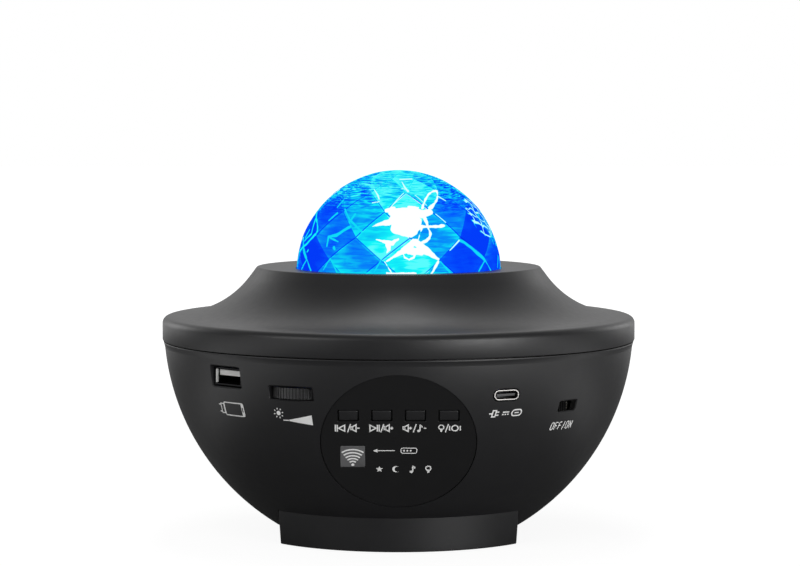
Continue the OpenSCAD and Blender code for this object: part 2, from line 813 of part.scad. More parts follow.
module speaker_frame() {
    color(GREY) difference() {
        union() {
            translate([0, 0, speaker_z]) cylinder(r = speaker_r, h = 1.2);
            translate([0, 0, speaker_z + 1.2 - EPS])
                cylinder(r1 = cone_r + 1.8, r2 = magnet_r - 1, h = top_plate_z - speaker_z - 1.2 + 2 * EPS);
            translate([0, 0, top_plate_z]) cylinder(r = magnet_r - 1, h = top_plate_t);
        }
        translate([0, 0, speaker_z - EPS]) cylinder(r = cone_r, h = 1.2 + 2 * EPS);
        translate([0, 0, speaker_z + 1.2]) cylinder(r1 = cone_r, r2 = magnet_r - 2.6,
            h = top_plate_z - speaker_z - 1.2);
        translate([0, 0, top_plate_z - 2]) cylinder(r = coil_r + 0.6, h = top_plate_t + 4);
        for (a = [0, 90]) rotate([0, 0, a]) slab(60, 14, 6.4, [0, 0, speaker_z + 7]);
        for (a = [45:90:315]) rotate([0, 0, a]) translate([speaker_screw_at, 0, speaker_z - EPS])
            cylinder(r = 1.25, h = 1.2 + 2 * EPS);
    }
}

// Half-round rubber roll between cone and frame
module speaker_surround() {
    roll = (cone_r - 20) / 2;
    color(RUBBER) rotate_extrude() polygon(concat(
        arc(20 + roll, speaker_z + 1.2, roll, 180, 360, 10),
        arc(20 + roll, speaker_z + 1.2, roll - 0.5, 360, 180, 10)
    ));
}

// Paper cone with its voice coil former and dust cap
module speaker_cone() {
    low = speaker_z + 1.2;
    neck = top_plate_z - 1.6;
    skin = 0.6;
    color([0.16, 0.16, 0.17]) rotate_extrude() polygon([
        [20, low], [20, low + skin], [coil_r, neck], [coil_r, neck + 7], [coil_r - 0.5, neck + 7],
        [coil_r - 0.5, neck - 1.2], [4, neck - 2.4], [0, neck - 2.8], [0, neck - 3.4], [4, neck - 3],
        [coil_r, neck - 1.8], [19, low]
    ]);
}

module speaker_magnet() {
    color([0.25, 0.25, 0.26]) translate([0, 0, top_plate_z + top_plate_t]) tube(magnet_r, 10, magnet_h);
}

// Steel back plate and the pole that stands in the voice coil
module speaker_yoke() {
    back = top_plate_z + top_plate_t + magnet_h;
    pole_low = top_plate_z;
    color(STEEL) {
        translate([0, 0, back]) cylinder(r = magnet_r - 1, h = 1.6);
        translate([0, 0, pole_low]) cylinder(r = pole_r, h = back - pole_low + EPS);
    }
}

module speaker_screws() {
    color(STEEL) for (a = [45:90:315]) rotate([0, 0, a]) translate([speaker_screw_at, 0, speaker_z + 1.2])
        rotate([180, 0, 0]) cross_screw(1.8, 1.2, 1.1, 3.2);
}

/* Optics */

// Frame under the dome that carries lamp, laser, motor and the ripple gear's track
module optics_frame() {
    color([0.14, 0.14, 0.15]) difference() {
        union() {
            translate([0, 0, frame_z]) cylinder(r = 49, h = frame_top - frame_z);
            translate([0, 0, frame_top - EPS]) tube(tube_out, tube_in, gear_z + 4 - frame_top);
            translate([0, 0, frame_top - EPS]) tube(30, tube_out - EPS, gear_z - 0.2 - frame_top);
        }
        translate([0, 0, frame_z - EPS]) cylinder(r = 19, h = 3);
        translate([0, motor_y, frame_z - EPS]) cylinder(r = 4.2, h = 3);
        for (s = [-1, 1]) translate([s * motor_ear_x, motor_y, frame_z - EPS])
            cylinder(r = board_hole_r, h = 3);
        for (a = [45:90:315]) rotate([0, 0, a]) translate([post_at, 0, frame_z - EPS])
            cylinder(r = board_hole_r, h = 3);
        translate([23.6, 0, frame_z - EPS]) cylinder(r = 1.7, h = 3);
    }
}

module frame_screws() {
    color(STEEL) {
        for (a = [45:90:315]) rotate([0, 0, a]) translate([post_at, 0, frame_z])
            cross_screw(board_head_r, board_head_h, board_screw_r, 11);
        for (s = [-1, 1]) translate([s * motor_ear_x, motor_y, frame_top]) rotate([180, 0, 0])
            cross_screw(board_head_r, board_head_h, board_screw_r, 5.2);
    }
}

// Finned aluminium block under the lamp board, bored for the laser
module heat_sink() {
    color(STEEL) difference() {
        union() {
            translate([0, 0, frame_top]) cylinder(r = 21.5, h = 1.5);
            translate([0, 0, frame_top - 3]) cylinder(r = 17.8, h = 3 + EPS);
            intersection() {
                for (x = [-15:5:15]) slab(1.6, 40, 12, [x, 0, frame_top - 7]);
                translate([0, 0, frame_top - 14]) cylinder(r = 17.8, h = 16);
            }
            translate([0, 0, frame_top - 13]) cylinder(r = 6, h = 12);
        }
        translate([0, 0, frame_top - 16]) cylinder(r = laser_r + 0.05, h = 20);
    }
}

led_board_z = frame_top + 1.5;
laser_r = 3.8;
laser_top = led_board_z + 4.4;

module led_board() {
    color(WHITE) translate([0, 0, led_board_z]) tube(21.5, laser_r + 0.5, board_t);
}

module led_emitters() {
    color([0.95, 0.85, 0.4]) for (a = [45:90:315]) rotate([0, 0, a])
        slab(3.6, 3.6, 1, [led_ring, 0, led_board_z + board_t + 0.5]);
}

// One clear moulding of four collimating lenses on three legs
module led_lenses() {
    low = led_board_z + board_t;
    color([0.85, 0.92, 0.95, 0.5]) difference() {
        union() {
            translate([0, 0, low + 5]) cylinder(r = 20, h = 1.4);
            for (a = [45:90:315]) rotate([0, 0, a]) translate([led_ring, 0, low + 1.1])
                cylinder(r1 = 3, r2 = 5.6, h = 4);
            for (a = [0, 120, 240]) rotate([0, 0, a + 75]) translate([18, 0, low]) cylinder(r = 1.4, h = 5.2);
        }
        translate([0, 0, low]) cylinder(r = 5.2, h = 8);
    }
}

module laser_module() {
    color(BRASS) translate([0, 0, frame_top - 15]) cylinder(r = laser_r, h = laser_top - frame_top + 15);
}

// Ring with the star-splitting glass over the laser
module laser_cap() {
    color([0.2, 0.2, 0.22]) {
        translate([0, 0, laser_top]) tube(4.7, 2.4, 2);
        translate([0, 0, laser_top + 0.6]) cylinder(r = 2.4 + EPS, h = 0.8);
    }
}

module gear_motor() {
    gearbox_z = frame_z - 8;
    color(STEEL) translate([0, motor_y, 0]) difference() {
        union() {
            translate([0, 0, gearbox_z]) cylinder(r = 9.5, h = 8);
            translate([0, 0, gearbox_z - 10]) cylinder(r = 7.5, h = 10 + EPS);
            slab(32, 6, 1.2, [0, 0, frame_z - 0.6]);
            translate([0, 0, frame_z - EPS]) cylinder(r = 4, h = 1.6);
        }
        translate([0, 0, gearbox_z + 2]) cylinder(r = 1.6, h = 12);
        for (s = [-1, 1]) translate([s * motor_ear_x, 0, frame_z - 3]) cylinder(r = 1.3, h = 6);
    }
}

module motor_shaft() {
    low = frame_z - 5.6;
    color(STEEL) translate([0, motor_y, low]) cylinder(r = 1.5, h = gear_z + gear_h + 0.4 - low);
}

// Pinion on the motor's shaft, a tooth gap turned to the ripple gear
module drive_pinion() {
    gap_turn = pinion_teeth % 2 == 0 ? 180 / pinion_teeth : 0;
    color(WHITE) translate([0, motor_y, gear_z]) difference() {
        rotate([0, 0, 90 + gap_turn]) linear_extrude(gear_h) polygon(gear_outline(pinion_teeth));
        translate([0, 0, -EPS]) cylinder(r = 1.5, h = gear_h + 2 * EPS);
    }
}

// Ring gear that turns round the frame's tube, a tooth turned to the pinion
module ripple_gear() {
    color(WHITE) translate([0, 0, gear_z]) difference() {
        rotate([0, 0, 90]) linear_extrude(gear_h) polygon(gear_outline(ripple_teeth));
        translate([0, 0, -EPS]) cylinder(r = tube_out + 0.3, h = gear_h + 2 * EPS);
    }
}

// Clear cap with rings of waves, carried by the ripple gear
module ripple_lens() {
    low = gear_z + gear_h;
    centre = dome_z - 0.6;
    wave = 0.45;
    skin = 1.5;
    outer = [for (a = [0:3:90]) let (r = ripple_r + wave * sin(a * 20)) [r * cos(a), centre + r * sin(a)]];
    inner = [for (a = [90:-6:0]) let (r = ripple_r - skin - wave) [r * cos(a), centre + r * sin(a)]];
    color([0.75, 0.88, 1, 0.4]) rotate_extrude() polygon(concat(
        [[ripple_r, low]], outer, inner, [[ripple_r - skin - wave, low]]
    ));
}

// Elevations of the rows where the diamond facets' corners lie, in degrees
dome_rows = [-4, 9.5, 22, 38, 52.5, 67, 79.5];
dome_turn = 6.7 - 90;

// Direction of a facet corner from the dome's centre
function dome_point(row, k) =
    let (
        e = dome_rows[row],
        a = dome_turn + 360 / dome_sides * (k + (row % 2 == 0 ? 0 : 0.5))
    )
    [cos(e) * cos(a), cos(e) * sin(a), sin(e)];

// Ball of diamond facets, cut flat under its lowest row
module faceted_ball(r) {
    rows = len(dome_rows);
    n = dome_sides;
    points = concat(
        [for (row = [0:rows - 1], k = [0:n - 1]) r * dome_point(row, k)],
        [[0, 0, r], [0, 0, r * sin(dome_rows[0])]]
    );
    strips = [for (row = [0:rows - 2], k = [0:n - 1])
        let (
            a = row * n + k,
            b = row * n + (k + 1) % n,
            c = (row + 1) * n + k,
            d = (row + 1) * n + (k + 1) % n
        )
        each row % 2 == 0 ? [[a, c, b], [b, c, d]] : [[a, c, d], [a, d, b]]];
    cap = [for (k = [0:n - 1]) [(rows - 1) * n + k, rows * n, (rows - 1) * n + (k + 1) % n]];
    bottom = [for (k = [0:n - 1]) [k, (k + 1) % n, rows * n + 1]];
    polyhedron(points = points, faces = concat(strips, cap, bottom), convexity = 4);
}

// Outer dome: rows of diamond facets over a plain skirt, with a flange and screw ears under the cover
module dome_lens() {
    low = dome_skirt_z;
    skirt_in = (dome_r - dome_wall) * cos(dome_rows[0]) - 0.8;
    color([0.2, 0.55, 1, 0.5]) difference() {
        union() {
            translate([0, 0, dome_z]) faceted_ball(dome_r);
            translate([0, 0, low]) cylinder(r = dome_r - 0.2, h = dome_z - low + 0.8);
            translate([0, 0, low]) cylinder(r = dome_r + 3.5, h = 2.2);
            for (a = [0:90:270]) rotate([0, 0, a]) translate([ear_at, 0, low]) cylinder(r = 3.4, h = 2.2);
        }
        translate([0, 0, dome_z]) faceted_ball(dome_r - dome_wall);
        translate([0, 0, low - 1]) cylinder(r = skirt_in, h = dome_z - low + 1);
        for (a = [0:90:270]) rotate([0, 0, a]) translate([ear_at, 0, low - EPS]) cylinder(r = 1.2, h = 3);
    }
}

module dome_screws() {
    color(STEEL) for (a = [0:90:270]) rotate([0, 0, a]) translate([ear_at, 0, dome_skirt_z])
        cross_screw(2, 1.2, 1, 3.4);
}

/* Leads: routes are [distance from the axis, height] in one upright plane */

lead_r = 0.7;
// Each ends with an upright stretch that stands on its socket
speaker_route = [[26, 20], [30, 20.5], [38, 24], [45, 32], [45, 44], [41, 51], [34, 53], [31, 52], [31, 49]];
motor_route = [[38, 56], [38, 54.5], [36, 53.4], [33, 53.2], [31, 52], [31, 49]];
light_route = [[19.5, 80.2], [22.6, 80.4], [23.6, 78], [23.6, 62], [27, 55], [32, 54.5], [32, 49]];
port_route_left = [[57.5, 52.7], [54, 54.2], [48, 54], [43, 54], [41.2, 52], [41.2, 49]];
port_route_right = [[59.5, 54.6], [56, 56.2], [49, 55], [43, 54.5], [41.2, 52], [41.2, 49]];

module speaker_leads() {
    color([0.7, 0.1, 0.08]) for (s = [-1, 1]) lead(speaker_route, 180, lead_r, -8 + 1.2 * s);
}

module optics_leads() {
    color([0.75, 0.7, 0.2]) {
        for (s = [-1, 1]) lead(motor_route, 180, lead_r, 8 + 1.2 * s);
        lead(light_route, 90, lead_r, 0);
    }
}

module port_leads() {
    color([0.2, 0.2, 0.22]) {
        for (s = [-1:1]) lead(port_route_left, -36.8, lead_r, 1.8 * s);
        for (s = [-1:1]) lead(port_route_right, 36.8, lead_r, 1.8 * s);
    }
}

bowl_shell();
top_cover();
pedestal();
base_plate();
rubber_feet();
base_screws();
control_panel();
ir_window();
button(button_x[0]);  // button_1
button(button_x[1]);  // button_2
button(button_x[2]);  // button_3
button(button_x[3]);  // button_4
plunger(button_x[0]);  // plunger_1
plunger(button_x[1]);  // plunger_2
plunger(button_x[2]);  // plunger_3
plunger(button_x[3]);  // plunger_4
tact_switches();
button_board();
ir_receiver();
usb_a_shell();
usb_a_insert();
usb_a_contacts();
usb_a_riser();
usb_c_shell();
usb_c_insert();
dimmer_wheel();
dimmer_pot();
left_board();
right_board();
switch_body();
switch_knob();
board_screws();
main_board();
main_chips();
capacitors();
lead_sockets();
speaker_frame();
speaker_surround();
speaker_cone();
speaker_magnet();
speaker_yoke();
speaker_screws();
optics_frame();
frame_screws();
heat_sink();
led_board();
led_emitters();
led_lenses();
laser_module();
laser_cap();
gear_motor();
motor_shaft();
drive_pinion();
ripple_gear();
ripple_lens();
dome_lens();
dome_screws();
speaker_leads();
optics_leads();
port_leads();
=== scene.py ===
import math
import random

import bmesh
import bpy
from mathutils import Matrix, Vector


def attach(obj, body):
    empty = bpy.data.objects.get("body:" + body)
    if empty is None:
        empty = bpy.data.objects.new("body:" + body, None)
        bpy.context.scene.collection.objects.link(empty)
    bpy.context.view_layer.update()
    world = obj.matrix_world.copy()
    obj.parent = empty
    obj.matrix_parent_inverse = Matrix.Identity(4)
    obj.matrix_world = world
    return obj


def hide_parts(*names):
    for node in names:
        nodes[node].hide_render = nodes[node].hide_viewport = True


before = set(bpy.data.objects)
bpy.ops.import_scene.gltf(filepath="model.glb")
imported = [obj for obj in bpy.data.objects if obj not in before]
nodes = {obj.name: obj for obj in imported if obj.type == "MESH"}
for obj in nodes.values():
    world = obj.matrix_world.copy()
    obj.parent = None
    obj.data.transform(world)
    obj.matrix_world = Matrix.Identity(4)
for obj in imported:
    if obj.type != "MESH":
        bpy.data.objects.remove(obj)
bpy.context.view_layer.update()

scene = bpy.context.scene
scene.view_settings.view_transform = "Standard"

# ---------------------------------------------------------------- camera
# A long lens a metre in front of the lamp, a little above the rim and
# looking slightly down, so that the flat ring round the dome only just shows.
MM = 0.001
EYE = (0, -934 * MM, 149 * MM)
LOOK_DOWN = math.radians(3.754)
LOOK_RIGHT = math.radians(0.031)
LENS = 118.17

camera_data = bpy.data.cameras.new("camera")
camera_data.sensor_width = 36
camera_data.lens = LENS
camera = bpy.data.objects.new("camera", camera_data)
camera.location = EYE
camera.rotation_euler = (math.pi / 2 - LOOK_DOWN, 0, -LOOK_RIGHT)
scene.collection.objects.link(camera)
scene.camera = camera


# ---------------------------------------------------------------- table, backdrop and lamps
# A pale table that runs out into a white surround, in soft light: two weak boxes
# behind the object, a low and a higher one in front and a long one above. The
# room in front is dim and the backdrop bright, so the casing's front stays dark.
FLOOR_SIZE = 12
FLOOR_GREY = 0.22
FLOOR_NEAR, FLOOR_FAR = 0.16, 0.9
FLOOR_LIFT_NEAR, FLOOR_LIFT_FAR = 0.9, 1.05
SIDE_NEAR, SIDE_FAR, SIDE_LEAN = 0.09, 0.19, 0.45
SIDE_FRONT, SIDE_BACK = -0.02, 0.06
ROOM_LIGHT = 0.3
ROOM_FRONT, ROOM_BEHIND = 0.17, 0.9
ROOM_FRONT_Y, ROOM_BEHIND_Y = 0.15, 0.85
ROOM_LOW, ROOM_LOW_Z, ROOM_FULL_Z = 0.35, 0.04, 0.3
LAMP_AIM = Vector((0, 0, 0.08))
# name: azimuth, distance and height of the middle, width, height, power
SOFT_BOXES = {
    "left_soft_box": (-132, 1.2, 0.3, 0.5, 0.5, 1.6),
    "right_soft_box": (132, 1.2, 0.3, 0.5, 0.5, 1.6),
    "front_soft_box": (38, 1.2, 0.14, 0.8, 0.25, 7.5),
    "fill_soft_box": (-48, 1.3, 0.55, 0.7, 0.5, 4.5),
    "top_soft_box": (180, 0.45, 1.35, 0.2, 1.2, 3.4),
}


def link_mesh(name, mesh):
    """An object for the mesh, placed at the frame's origin."""
    obj = bpy.data.objects.new(name, mesh)
    scene.collection.objects.link(obj)
    return obj


def calc(tree, operation, *inputs, clamp=False):
    """One math node; an input may be a number or another node's output."""
    node = tree.nodes.new("ShaderNodeMath")
    node.operation = operation
    node.use_clamp = clamp
    for k, value in enumerate(inputs):
        if isinstance(value, (int, float)):
            node.inputs[k].default_value = value
        else:
            tree.links.new(value, node.inputs[k])
    return node.outputs[0]


def fade(tree, value, start, end, low=0.0, high=1.0):
    """Smoothly from low at start to high at end."""
    node = tree.nodes.new("ShaderNodeMapRange")
    node.interpolation_type = "SMOOTHSTEP"
    for name, number in (("From Min", start), ("From Max", end), ("To Min", low), ("To Max", high)):
        node.inputs[name].default_value = number
    tree.links.new(value, node.inputs["Value"])
    return node.outputs["Result"]


def mirrored_rays(tree):
    """The light path node, and 1 for rays that come by way of metal, gloss or glass."""
    path = tree.nodes.new("ShaderNodeLightPath")
    glossy, through = path.outputs["Is Glossy Ray"], path.outputs["Is Transmission Ray"]
    return path, calc(tree, "MAXIMUM", glossy, through)


def floor_material():
    """Grey to the lamps, white to the eye, and to mirrored rays behind and at the sides."""
    material = bpy.data.materials.new("pale_table")
    material.use_nodes = True
    tree = material.node_tree
    shader = tree.nodes["Principled BSDF"]
    shader.inputs["Base Color"].default_value = (FLOOR_GREY, FLOOR_GREY, FLOOR_GREY, 1)
    shader.inputs["Roughness"].default_value = 0.9
    shader.inputs["Specular IOR Level"].default_value = 0
    shader.inputs["Emission Color"].default_value = (1, 1, 1, 1)
    place = tree.nodes.new("ShaderNodeTexCoord").outputs["Object"]
    away = tree.nodes.new("ShaderNodeVectorMath")
    away.operation = "LENGTH"
    tree.links.new(place, away.inputs[0])
    far = fade(tree, away.outputs["Value"], FLOOR_NEAR, FLOOR_FAR)
    path, mirrored = mirrored_rays(tree)
    seen = calc(tree, "MULTIPLY", path.outputs["Is Camera Ray"],
                calc(tree, "MULTIPLY_ADD", far, FLOOR_LIFT_FAR - FLOOR_LIFT_NEAR, FLOOR_LIFT_NEAR))
    axes = tree.nodes.new("ShaderNodeSeparateXYZ")
    tree.links.new(place, axes.inputs[0])
    x, y = axes.outputs["X"], axes.outputs["Y"]
    behind = fade(tree, y, FLOOR_NEAR, FLOOR_FAR, 0, ROOM_BEHIND)
    inward = calc(tree, "ABSOLUTE", y)
    sideways = calc(tree, "MULTIPLY_ADD", inward, -SIDE_LEAN, calc(tree, "ABSOLUTE", x))
    beside = calc(tree, "MULTIPLY", fade(tree, sideways, SIDE_NEAR, SIDE_FAR),
                  fade(tree, y, SIDE_FRONT, SIDE_BACK, 1, 0))
    lift = calc(tree, "MULTIPLY_ADD", mirrored, calc(tree, "MAXIMUM", behind, beside), seen)
    tree.links.new(lift, shader.inputs["Emission Strength"])
    return material


def make_floor():
    half = FLOOR_SIZE / 2
    mesh = bpy.data.meshes.new("floor")
    corners = [(-half, -half, 0), (half, -half, 0), (half, half, 0), (-half, half, 0)]
    mesh.from_pydata(corners, [], [(0, 1, 2, 3)])
    floor = link_mesh("floor", mesh)
    floor.data.materials.append(floor_material())


def make_surround():
    """White to the eye; mirrored rays see the backdrop behind and the dim room in front."""
    world = bpy.data.worlds.new("surround")
    scene.world = world
    world.use_nodes = True
    tree = world.node_tree
    background = tree.nodes["Background"]
    background.inputs["Color"].default_value = (1, 1, 1, 1)
    heading = tree.nodes.new("ShaderNodeSeparateXYZ")
    tree.links.new(tree.nodes.new("ShaderNodeTexCoord").outputs["Generated"], heading.inputs[0])
    y, z = heading.outputs["Y"], heading.outputs["Z"]
    studio = fade(tree, y, ROOM_FRONT_Y, ROOM_BEHIND_Y, ROOM_FRONT, ROOM_BEHIND)
    studio = calc(tree, "MULTIPLY", studio, fade(tree, z, ROOM_LOW_Z, ROOM_FULL_Z, ROOM_LOW))
    path, mirrored = mirrored_rays(tree)
    above = calc(tree, "SUBTRACT", studio, ROOM_LIGHT)
    strength = calc(tree, "MULTIPLY_ADD", mirrored, above, ROOM_LIGHT)
    strength = calc(tree, "MAXIMUM", strength, path.outputs["Is Camera Ray"])
    tree.links.new(strength, background.inputs["Strength"])


def make_soft_box(name, turn, distance, height, wide, tall, power):
    """A lamp behind a cloth of the given size, turned to face the object."""
    angle = math.radians(turn)
    place = Vector((distance * math.sin(angle), -distance * math.cos(angle), height))
    lamp = bpy.data.lights.new(name, "AREA")
    lamp.shape = "RECTANGLE"
    lamp.size, lamp.size_y = wide, tall
    lamp.energy = power
    box = bpy.data.objects.new(name, lamp)
    box.location = place
    box.rotation_euler = (LAMP_AIM - place).to_track_quat("-Z", "Y").to_euler()
    scene.collection.objects.link(box)


make_floor()
make_surround()
for name, measures in SOFT_BOXES.items():
    make_soft_box(name, *measures)


# ---------------------------------------------------------------- rubber feet
# Four pads of black silicone rubber, pressed into shallow pockets of the
# base plate and left with the dull bloom that moulded rubber has.
RUBBER_BLACK = (0.018, 0.018, 0.019)
CLOUD_SCALE = 120
CLOUD_RANGE = (0.3, 0.7)
GLOSS_SCALE = 400
GLOSS_SPREAD = 0.1


def surface(name, colour, roughness, grain, depth, uneven=0.25, metallic=0.0, shine=0.5):
    """A finish: colour and gloss, both slightly uneven, under a grain of a size and depth in mm."""
    material = bpy.data.materials.new(name)
    material.use_nodes = True
    tree = material.node_tree
    shader = tree.nodes["Principled BSDF"]
    shader.inputs["Metallic"].default_value = metallic
    shader.inputs["Specular IOR Level"].default_value = shine
    place = tree.nodes.new("ShaderNodeTexCoord").outputs["Object"]

    tone = tree.nodes.new("ShaderNodeValToRGB")
    shares = (1 - uneven, 1 + uneven)
    for element, position, share in zip(tone.color_ramp.elements, CLOUD_RANGE, shares):
        element.position = position
        element.color = (*[c * share for c in colour], 1)
    tree.links.new(noise(tree, place, CLOUD_SCALE, detail=4), tone.inputs["Fac"])
    tree.links.new(tone.outputs["Color"], shader.inputs["Base Color"])

    gloss = tree.nodes.new("ShaderNodeMapRange")
    gloss.inputs["To Min"].default_value = roughness * (1 - GLOSS_SPREAD)
    gloss.inputs["To Max"].default_value = min(1, roughness * (1 + GLOSS_SPREAD))
    tree.links.new(noise(tree, place, GLOSS_SCALE, detail=3), gloss.inputs["Value"])
    tree.links.new(gloss.outputs["Result"], shader.inputs["Roughness"])

    bump = tree.nodes.new("ShaderNodeBump")
    bump.inputs["Strength"].default_value = 1
    bump.inputs["Distance"].default_value = depth * MM
    tree.links.new(noise(tree, place, 1 / (grain * MM), detail=2), bump.inputs["Height"])
    tree.links.new(bump.outputs["Normal"], shader.inputs["Normal"])
    return material


def noise(tree, vector, scale, detail=2.0, distortion=0.0):
    node = tree.nodes.new("ShaderNodeTexNoise")
    node.inputs["Scale"].default_value = scale
    node.inputs["Detail"].default_value = detail
    node.inputs["Distortion"].default_value = distortion
    tree.links.new(vector, node.inputs["Vector"])
    return node.outputs["Fac"]


def dress(material, *names):
    """Gives the material to nodes that keep their own shape."""
    for name in names:
        for slot in nodes[name].material_slots:
            slot.material = material


rubber = surface("silicone_rubber", RUBBER_BLACK, 0.75, 0.5, 0.012)
dress(rubber, "rubber_feet")


# ---------------------------------------------------------------- base plate and its screws
# A moulded disc with a grille of round holes under the speaker, held by four
# long zinc-plated screws that run up through the pedestal into the bowl.
CASING_BLACK = (0.015, 0.015, 0.016)
ZINC = (0.62, 0.63, 0.66)

matt_black = surface("matt_black_moulding", CASING_BLACK, 0.42, 0.35, 0.005,
                     uneven=0.06, shine=0.45)
dress(matt_black, "base_plate")

zinc = surface("zinc_plate", ZINC, 0.32, 0.3, 0.003, uneven=0.1, metallic=1.0)
dress(zinc, "base_screws")


# ---------------------------------------------------------------- pedestal
# The ring that lifts the bowl off the table: a hollow moulding with round
# front and back and two flat sides, a little narrower at the table.
FOOT_HALF = 41.5
FOOT_R = 56
FOOT_CORNER = 1.5
FOOT_TOP = 14
FOOT_LOW = 0.15
FOOT_TAPER = 0.9
FOOT_EDGE = 0.3
FOOT_STRAIGHT = 3
FOOT_STEPS = 8
WALL = 2.4


def arc(cx, cy, r, start, end, steps):
    """Points on a circle between two angles in degrees."""
    angles = [math.radians(start + (end - start) * i / steps) for i in range(steps + 1)]
    return [(cx + r * math.cos(a), cy + r * math.sin(a)) for a in angles]


def pedestal_outline(grow):
    """The foot from above, made larger all round by grow."""
    r = FOOT_R + grow
    cx = FOOT_HALF + grow - FOOT_CORNER
    cy = math.sqrt((r - FOOT_CORNER) ** 2 - cx ** 2)
    phi = math.degrees(math.atan2(cy, cx))
    quarter = arc(cx, cy, FOOT_CORNER, 0, phi, 6) + arc(0, 0, r, phi, 180 - phi, 72)[1:-1]
    quarter += arc(-cx, cy, FOOT_CORNER, 180 - phi, 180, 6)
    return quarter + [(-x, -y) for x, y in quarter]


def loft(name, loops, ends=False):
    """Closed skin over loops of equal length, points in mm.
    The last loop joins the first, or both get a flat face as ends."""
    rows, count = len(loops), len(loops[0])
    points = [Vector(p) * MM for loop in loops for p in loop]
    faces = [tuple(range(count)), tuple(range((rows - 1) * count, rows * count))] if ends else []
    for i in range(rows - 1 if ends else rows):
        j = (i + 1) % rows
        for k in range(count):
            m = (k + 1) % count
            faces.append((i * count + k, i * count + m, j * count + m, j * count + k))
    mesh = bpy.data.meshes.new(name)
    mesh.from_pydata(points, [], faces)
    outward(mesh)
    return mesh


def outward(mesh):
    """Turns all faces of a closed skin to the outside."""
    skin = bmesh.new()
    skin.from_mesh(mesh)
    bmesh.ops.recalc_face_normals(skin, faces=skin.faces)
    skin.to_mesh(mesh)
    skin.free()


def smooth(mesh, crease=30):
    """Smooth shading, with edges sharper than crease degrees kept crisp."""
    mesh.shade_smooth()
    mesh.set_sharp_from_angle(angle=math.radians(crease))


def make_pedestal():
    edge = arc(-FOOT_TAPER - FOOT_EDGE, FOOT_LOW + FOOT_EDGE, FOOT_EDGE, -90, 0, 6)
    outside = [(z, grow) for grow, z in edge]
    side_low, side_height = FOOT_LOW + FOOT_EDGE, FOOT_TOP - FOOT_EDGE - FOOT_LOW
    outside += [(side_low + side_height * i / FOOT_STEPS, FOOT_TAPER * (i / FOOT_STEPS - 1))
                for i in range(1, FOOT_STEPS + 1)]
    inside = [(FOOT_TOP, -WALL), (FOOT_TOP - FOOT_STRAIGHT, -WALL), (FOOT_LOW, -FOOT_TAPER - WALL)]
    loops = [[(x, y, z) for x, y in pedestal_outline(grow)] for z, grow in outside + inside]
    mesh = loft("pedestal_ring", loops)
    smooth(mesh)
    mesh.materials.append(matt_black)
    pedestal = link_mesh("pedestal_ring", mesh)
    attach(pedestal, "casing")
    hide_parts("pedestal")


make_pedestal()


# ---------------------------------------------------------------- speaker
# A small full-range driver that looks down through the grille: stamped steel
# basket, rubber roll, pressed paper cone, ferrite ring and steel back plate.
BASKET_GREY = (0.16, 0.16, 0.17)
PAPER_BLACK = (0.024, 0.023, 0.022)
FERRITE = (0.05, 0.05, 0.052)

basket = surface("stamped_basket", BASKET_GREY, 0.42, 0.4, 0.004, metallic=0.8)
paper = surface("pressed_paper", PAPER_BLACK, 0.85, 0.25, 0.03, uneven=0.35)
ferrite = surface("ferrite", FERRITE, 0.7, 0.3, 0.015)
dress(basket, "speaker_frame")
dress(rubber, "speaker_surround")
dress(paper, "speaker_cone")
dress(ferrite, "speaker_magnet")
dress(zinc, "speaker_yoke", "speaker_screws")


# ---------------------------------------------------------------- bowl
# The lower casing: a deep ball-shaped moulding in matt charcoal plastic, with
# a round seat for the panel and openings for sockets, wheel and switch.
BALL_R = 83.4
BALL_Z = 73.6
BOWL_LOW = 3.2
SEAM_Z = 67.9
LIP_Z = SEAM_Z - 2.2
RIM_R = 83.9
PANEL_OFF = 79.25
PANEL_TILT = math.radians(25.4)
PANEL_R = math.sqrt(BALL_R ** 2 - PANEL_OFF ** 2)
PANEL_SIDES = 144
PANEL_SEAT = 2.3
CONE_R = 22.8
CHAMFER = 0.3
PORT_END = 68
ON_BALL = 2e-6
BAND_STEP = 0.4
SPIGOT_OUT, SPIGOT_IN = RIM_R - 2.8, RIM_R - 5
SPIGOT_TOP = SEAM_Z + 2.3

USB_A = {"turn": -45, "height": 60, "size": (14.2, 7), "corner": 0.4}
WHEEL = {"turn": -26, "height": 56, "size": (16.3, 4.4), "corner": 0.5}
USB_C = {"turn": 26, "height": 55.55, "size": (9.7, 3.9), "corner": 1.94}
SWITCH = {"turn": 45.3, "height": 50.1, "size": (8.6, 3.5), "corner": 0.3}


def ball_radius(z, r=BALL_R):
    return math.sqrt(r ** 2 - (z - BALL_Z) ** 2)


def turned(name, profile, segments=360):
    """A closed profile of (radius, height) points in mm, turned round the axis."""
    steps = [2 * math.pi * k / segments for k in range(segments)]
    loops = [[(r * math.cos(a), r * math.sin(a), z) for a in steps] for r, z in profile]
    return loft(name, loops)


def ball_angle(z, r=BALL_R):
    return math.degrees(math.asin((z - BALL_Z) / r))


def rounded_box(w, h, corner, grow=0.0, steps=4):
    """Outline of a w by h rectangle with round corners, made larger all round by grow."""
    x, y, r = w / 2 - corner, h / 2 - corner, corner + grow
    return (arc(x, y, r, 0, 90, steps) + arc(-x, y, r, 90, 180, steps)
            + arc(-x, -y, r, 180, 270, steps) + arc(x, -y, r, 270, 360, steps))


def on_side(turn, u, z, out):
    """A point by the casing's side: at an azimuth, u to the right, z up, out from the axis."""
    a = math.radians(turn)
    return (u * math.cos(a) + out * math.sin(a), u * math.sin(a) - out * math.cos(a), z)


